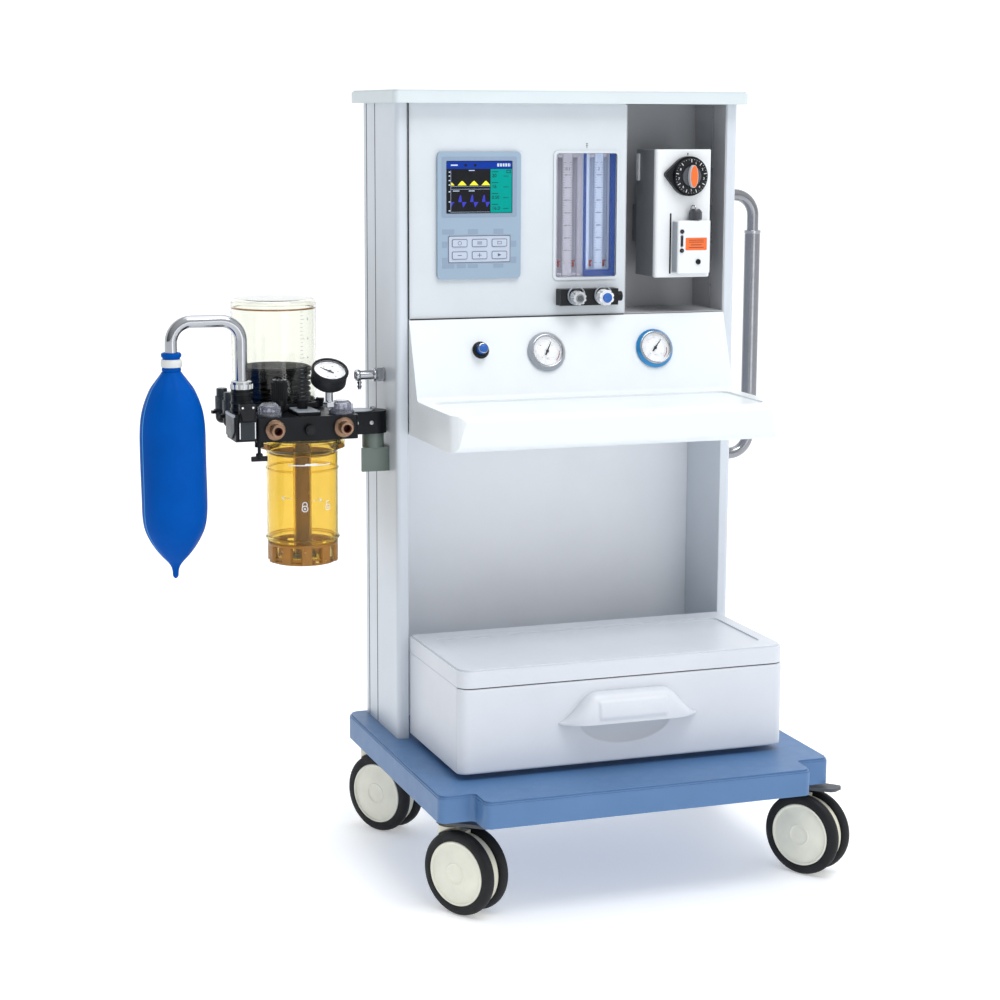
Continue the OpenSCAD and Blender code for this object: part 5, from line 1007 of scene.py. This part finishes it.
# Pressure limiting knob: ribbed skirt, smooth cap with a scale
ribs = [((14.1 + 0.75 * math.cos(28 * 2 * math.pi * i / 280)) * math.cos(2 * math.pi * i / 280), (14.1 + 0.75 * math.cos(28 * 2 * math.pi * i / 280)) * math.sin(2 * math.pi * i / 280)) for i in range(280)]
put("limit_knob_body", [prism(ribs, 22, 54), rev([(0, -9.6), (5, -9.6), (5, 0.6), (10.8, 0.6), (10.8, 13), (13.6, 13), (13.6, 22), (0, 22)], 48), rev([(0, 54), (13.4, 54), (13.2, 56), (11.4, 58.6), (0, 59.2)], 64)],
    axes(-536, 62, TOP + 0.5), M["dark"], "limit_knob", "knob_black", bevel=0.5, sharp=38, replaces="pressure_limit_knob")
put("limit_knob_marks", [at(box(9, 12.4, -0.45, 0.45, 58.5, 59.3), turn=a) for a in range(0, 360, 40)], axes(-536, 62, TOP + 0.5), M["ink_white"], "limit_knob", "lever_grey")

# Bag arm: socket nut with its mouth, and socket rings
nut = [((19.9 + 0.8 * math.cos(14 * 2 * math.pi * i / 196)) * math.cos(2 * math.pi * i / 196), (19 + 0.9 * math.cos(14 * 2 * math.pi * i / 196)) * math.sin(2 * math.pi * i / 196)) for i in range(196)]
put("arm_nut", [prism(nut, 884.6, 893), rev([(11.3, 893), (18.6, 893), (18.2, 896.6), (16.4, 898.4), (11.3, 898.6), (11.3, 893)], 64)], axes(-613, 30, 0), M["white_soft"], "bag_arm_body", "knob_clear", bevel=0.8, sharp=40)
put("socket_rings", [rev([(19.1, z), (20.4, z + 0.6), (20.8, z + 2.6), (20.4, z + 4.6), (19.1, z + 5.2), (19.1, z)], 64) for z in (846, 858, 874)], axes(-613, 30, 0), M["dark"], BS, "knob_black", sharp=40)

# ---- Canister ------------------------------------------------------------------------------

CB = "canister_body"
can = axes(-494, 68, 558.5)
put("canister_core", rev([(0, 8.8), (12, 9.2), (13.5, 14), (13.5, 214), (11, 216), (11, 10), (0, 9.6)], 48), can, M["amber_dark"], CB, "canister_amber", sharp=40)
put("canister_core_flange", rev([(17.4, 196), (54, 198), (61, 201), (61, 203), (54, 201), (17.4, 199), (17.4, 196)], 64), can, M["amber_dark"], CB, "canister_amber", sharp=40)
put("canister_base_rings", [rev([(56.9, z), (59.6, z + 0.4), (60.2, z + 2), (59.6, z + 3.6), (56.9, z + 4), (56.9, z)], 96) for z in (8,)] , can, M["amber_dark"], CB, "canister_amber", sharp=40)
fine = []
for x0, x1 in ((-40, -12), (12, 40)):
    fine += [around(p, 65) for p in line([(x, 186) for x in range(x0, x1 + 1, 4)], 2.0, 0.1, 0.4)]
fine += [around(p, 65) for p in line([(x, 187) for x in range(-9, 10, 3)], 4.0, 0.1, 0.4)]


def padlock(x, y, k, open_=0):
    arc = [(x + 4 * k * math.cos(math.radians(a)), y + (3 + 4 * math.sin(math.radians(a))) * k) for a in range(0 + open_, 181, 20)]
    out = [around(p, 65) for p in line([(x + 4 * k, y + 1 * k)] * (0 if open_ else 1) + arc + [(x - 4 * k, y + 0 * k)], 1.3, 0.1, 0.4)]
    out.append(around(at(band(circle(6 * k, 28), circle(4.6 * k, 28), 0.1, 0.4), x, y - 5 * k), 65))
    out.append(around(at(prism(circle(1.6 * k, 16), 0.1, 0.4), x, y - 5 * k), 65))
    return out


fine += padlock(-12, 112, 1.0) + padlock(34, 112, 1.0, 60)
fine += [around(p, 65) for p in line([(4, 122), (20, 122)], 1.1, 0.1, 0.35) + line([(15, 125), (20, 122), (15, 119)], 1.1, 0.1, 0.35)]
fine += [around(p, 65) for p in line([(-56, 126), (-38, 126)], 1.1, 0.1, 0.35) + line([(-50, 129), (-56, 126), (-50, 123)], 1.1, 0.1, 0.35)]
put("canister_marks", fine, can, M["ink_white"], CB, "lever_grey")
put("canister_band", [rev([(65.05, 172), (66.6, 172.6), (67, 174), (66.6, 175.4), (65.05, 176), (65.05, 172)], 96), rev([(65.05, 44), (67.2, 44.6), (67.8, 46), (67.2, 48), (65.05, 49), (65.05, 44)], 96)], can, M["amber"], CB, "canister_amber", sharp=50)
lobe = rounded([(-9, -5.5), (9, -5.5), (11, 5.5), (-11, 5.5)], [3, 3, 2, 2], 5)
put("canister_foot", [at(prism(lobe, 2, 34), 58.5 * math.cos(math.radians(a)), 58.5 * math.sin(math.radians(a)), 0, turn=a + 90) for a in range(10, 360, 36)] +
    [rev([(50, 33), (63.4, 33), (64.4, 34.4), (64.4, 37.6), (63.4, 39), (50, 39), (50, 33)], 96), rev([(54, 0.6), (59.4, 0.6), (60.4, 2), (60.4, 5), (54, 5), (54, 0.6)], 96)], can, M["amber_dark"], CB, "canister_amber", bevel=0.8, sharp=40)
put("canister_spring_seat", rev([(20.4, 9), (24, 9), (24, 16), (22, 17), (20.4, 16), (20.4, 9)], 48), can, M["metal_dark"], CB, "screw_steel", sharp=40)
put("canister_catches", [at(prism(rounded(rect(-9, 9, -4, 4), 2), 213, 222), 76 * math.cos(math.radians(a)), 76 * math.sin(math.radians(a)), 0, turn=a + 90) for a in (200, 320, 80)], can, M["amber_dark"], CB, "canister_amber", bevel=1.0)

# ---- Breathing bag -------------------------------------------------------------------------


def bag():
    """Limp rubber bag: flattened middle, pleats running out of the neck and the tail, seam ridge along its side."""
    rings, n = 130, 128
    top, low = 921.5, 548.0
    rows = [(0, 15.6), (8, 20.5), (19, 28.6), (33, 38.4), (58, 49.2), (79, 54.8), (104, 57.4), (140, 57.9), (230, 57.9), (262, 56.9), (283, 53.0),
            (303, 44.0), (321, 32.4), (335, 21.0), (344, 12.6), (351, 8.0), (358, 5.8), (366, 5.2), (370, 4.6), (373, 2.4), (373.5, 0.4)]
    pts, faces = [], []
    for i in range(rings + 1):
        t = i / rings
        down = (top - low) * (t if t < 0.9 else t)
        z = top - down
        k = max(m for m in range(len(rows) - 1) if rows[m][0] <= down + 1e-6)
        (d0, r0), (d1, r1) = rows[k], rows[k + 1]
        before, after = rows[max(k - 1, 0)], rows[min(k + 2, len(rows) - 1)]
        h = d1 - d0
        m0 = (r1 - before[1]) / max(1e-6, d1 - before[0]) * h
        m1 = (after[1] - r0) / max(1e-6, after[0] - d0) * h
        u = min(1, (down - d0) / h)
        r = (2 * u ** 3 - 3 * u ** 2 + 1) * r0 + (u ** 3 - 2 * u ** 2 + u) * m0 + (3 * u ** 2 - 2 * u ** 3) * r1 + (u ** 3 - u ** 2) * m1
        up = z - low
        swell = math.sin(math.pi * min(1, max(0, (down - 20) / 320)))
        for k in range(n):
            a = 2 * math.pi * k / n
            pleat = 0.0
            if down < 80:
                pleat += 1.1 * (1 - down / 80) * min(1, down / 14) * math.cos(9 * a + 0.4)
            if 22 < up < 95:
                pleat += 1.2 * (1 - (up - 22) / 73) * min(1, (up - 22) / 18) * math.cos(8 * a + 1.1)
            soft = 0.7 * math.sin(3 * a + z * 0.021) * swell + 0.45 * math.sin(5 * a - z * 0.034) * swell
            ridge = sum(math.exp(-((math.remainder(a - math.radians(c), 2 * math.pi)) / 0.03) ** 2) for c in (15, 195))
            rr = r + (pleat + soft) * min(1, r / 40) + 0.9 * ridge * min(1, r / 20)
            pts.append((rr * math.cos(a), rr * math.sin(a) * (1 - 0.03 * swell), z))
    for i in range(rings):
        for k in range(n):
            faces.append((i * n + k, (i + 1) * n + k, (i + 1) * n + (k + 1) % n, i * n + (k + 1) % n))
    faces.append(tuple(range(n)))
    faces.append(tuple(rings * n + k for k in range(n - 1, -1, -1)))
    return pts, faces


def seam(g):
    """1 on the two narrow seam lines that run down the bag's sides, where a lighter blue is painted as a highlight
    along the seam ridge.
    """
    xyz = g.split()
    x = g.math("SUBTRACT", xyz[0], -0.556)
    y = g.math("SUBTRACT", xyz[1], 0.112)
    n = g.node("ShaderNodeMath", operation="ARCTAN2")
    g.link(y, n.inputs[0])
    g.link(x, n.inputs[1])
    near = g.math("ABSOLUTE", g.math("SUBTRACT", g.math("ABSOLUTE", g.math("SUBTRACT", n.outputs[0], math.radians(-75))), math.radians(90)))
    return g.remap(near, 1, 0, 0.012, 0.03)


# The second, lighter blue is a painted highlight along the seam ridges
M["bag"] = surface("blue_latex", srgb(0, 79, 168), 0.5, specular=0.04, vary=0.08, cloud=9, grain=620, depth=0.12, spread=0.08,
                   second=srgb(70, 160, 222), zone=seam)
bx, by = -738, 30
skin = put("bag_skin", bag(), axes(bx, by, 0), M["bag"], "bag_arm_body", "bag_rubber", sharp=80, subsurf=1, replaces="breathing_bag")
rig.padded(skin, fill=0.8)
put("bag_neck_sleeve", rev([(12, 920.5), (16.4, 920.5), (17, 922.4), (16.4, 926), (15.2, 928), (15.0, 940), (15.6, 944), (17.6, 946), (17.9, 948.6), (17.4, 951.4), (16, 952.6), (11.6, 952.6), (11.4, 951.5), (11.4, 946), (8.6, 945.4), (8.6, 932), (12, 920.5)], 64),
    axes(bx, by, 0), M["bag"], "bag_arm_body", "bag_rubber", sharp=50)
put("bag_collar", rev([(15.3, 927), (17.8, 927.4), (18.6, 929), (18.8, 934), (18.4, 939), (17.2, 941), (15.3, 941.4), (15.3, 927)], 64), axes(bx, by, 0), M["white_soft"], "bag_arm_body", "knob_clear", sharp=50)

# ---- Back and sides ------------------------------------------------------------------------

rear = lambda x, z, y: axes(x, y, z, (-1, 0, 0), (0, 1, 0))
put("vent_mesh", [box(x - 54, x + 54, -0.6, 0.6, 0, 0.6) for x in ()] or [box(-54, 54, 14 * k - 54 + 2.2, 14 * k - 54 + 3.0, -1.6, -0.8) for k in range(9)], rear(-190, 1264, 152), M["module"], "trolley", "module_grey")
put("inlet_bezel", [band(rounded(rect(-47, 47, -27, 27), 3), rounded(rect(-45.2, 45.2, -25.2, 25.2), 1.5), 0.1, 3)], rear(-190, 1050, 155), M["dark"], "trolley", "switch_black", bevel=0.5)
put("switch_signs", [box(-1, 1, 3.2, 8.4, 5.2, 5.6)], rear(-164, 1050, 158), M["ink_white"], "switch", "switch_black") if False else None
put("inlet_rings", [at(rev([(9.6, 0), (13.4, 0), (13.8, 0.5), (13.8, 1.6), (13, 2.4), (9.6, 2.4), (9.6, 0)], 48), -x, 0) for x in (40, 100, 160)], rear(0, 1050, 161.1), M["blue_rim"], "trolley", "gauge_metal")
feet = []
for z in (712, 1216):
    feet.append(at(rev([(12, 0), (18.6, 0), (19.2, 0.5), (19.2, 1.4), (15, 2.4), (12, 5.4), (12, 0)], 64), 0, z))
put("handle_roses", feet, axes(340.1, 100, 0, (0, 1, 0), (1, 0, 0)), M["chrome"], "trolley", "handle_chrome", sharp=40)
put("grip_ends", [rev([(11.2, z), (15.2, z), (15.9, z + 0.8), (15.9, z + 5.2), (15.2, z + 6), (11.2, z + 6), (11.2, z)], 64) for z in (758, 1142)], axes(418, 100, 0), M["chrome"], "trolley", "handle_chrome", sharp=40)
outlet = axes(-334, 80, 895, (0, -1, 0), (-1, 0, 0))
put("outlet_collar", [rev([(8.6, 16), (12, 16), (12.6, 16.8), (12.6, 21), (11.6, 22.4), (8.6, 22.4), (8.6, 16)], 48), rev([(8.6, 47), (10, 47), (10.6, 47.8), (10.6, 53), (9.8, 55), (6.8, 55.6), (6.4, 53), (8.4, 50), (8.6, 47)], 48)],
    outlet, M["chrome"], "trolley", "fitting_chrome", sharp=40)

# ---- Floor, light and camera -----------------------------------------------------------------

rows = [(-45, 0), (-9, 0), (4.2, 0)] + [(4.2 + 3 * math.sin(math.pi / 20 * i), 3 - 3 * math.cos(math.pi / 20 * i)) for i in range(1, 11)] + [(7.2, 12)]
pts = [(x, y, z) for y, z in rows for x in (-45, 45)]
floor = bpy.data.objects.new("floor", bpy.data.meshes.new("floor"))
floor.data.from_pydata(pts, [], [(2 * i, 2 * i + 1, 2 * i + 3, 2 * i + 2) for i in range(len(rows) - 1)])
floor.data.shade_smooth()
scene.collection.objects.link(floor)
floor.data.materials.append(surface("pale_floor", srgb(243, 244, 245), 0.6, vary=0.006, grain=300, depth=0.02, cloud=2, glow=0.34))
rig.stage(floor)

world = bpy.data.worlds.new("studio")
scene.world = world
world.use_nodes = True
tree = world.node_tree
place = tree.nodes.new("ShaderNodeTexCoord")
lean = tree.nodes.new("ShaderNodeVectorMath")
lean.operation = "DOT_PRODUCT"
lean.inputs[1].default_value = (0.55, -0.22, 0.80)
ramp = tree.nodes.new("ShaderNodeMapRange")
ramp.inputs["From Min"].default_value, ramp.inputs["From Max"].default_value = -0.35, 0.85
ramp.inputs["To Min"].default_value, ramp.inputs["To Max"].default_value = 0.14, 0.92
tree.links.new(place.outputs["Generated"], lean.inputs[0])
tree.links.new(lean.outputs["Value"], ramp.inputs["Value"])
tree.links.new(ramp.outputs["Result"], tree.nodes["Background"].inputs["Strength"])
tree.nodes["Background"].inputs["Color"].default_value = (0.97, 0.985, 1.0, 1)


def lamp(name, spot_, target, size, watts, color=(1, 1, 1)):
    data = bpy.data.lights.new(name, "AREA")
    data.shape, data.size, data.size_y, data.energy, data.color = "RECTANGLE", size[0], size[1], watts, color
    obj = bpy.data.objects.new(name, data)
    obj.location = spot_
    obj.rotation_euler = (Vector(target) - Vector(spot_)).to_track_quat("-Z", "Y").to_euler()
    scene.collection.objects.link(obj)


lamp("key", (0.6, -1.9, 4.2), (0.1, 0, 0.8), (2.0, 1.6), 63)
lamp("fill", (0.9, -3.6, 0.9), (0.1, 0, 0.6), (1.6, 1.2), 8, (0.96, 0.98, 1))
lamp("top", (0.3, 0.6, 3.8), (0.1, 0, 0), (2.2, 2.2), 22)

cam = bpy.data.objects.new("camera", bpy.data.cameras.new("camera"))
scene.collection.objects.link(cam)
right, up, ahead = Vector((0.94292, -0.33298, 0.00397)), Vector((0.05328, 0.16260, 0.98525)), Vector((0.32872, 0.92881, -0.17106))
cam.matrix_world = Matrix.Translation((-1.3077, -3.7461, 1.3676)) @ Matrix((right, up, -ahead)).transposed().to_4x4()
cam.data.lens, cam.data.sensor_width = 80.0, 36.0
cam.data.clip_start, cam.data.clip_end = 0.1, 120
scene.camera = cam
scene.view_settings.view_transform = "Standard"

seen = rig.bounds()
with open("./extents.json", "w") as f:
    json.dump({"cad": [list(v) for v in cad_box], "visual": [list(v) for v in seen]}, f, indent=1)
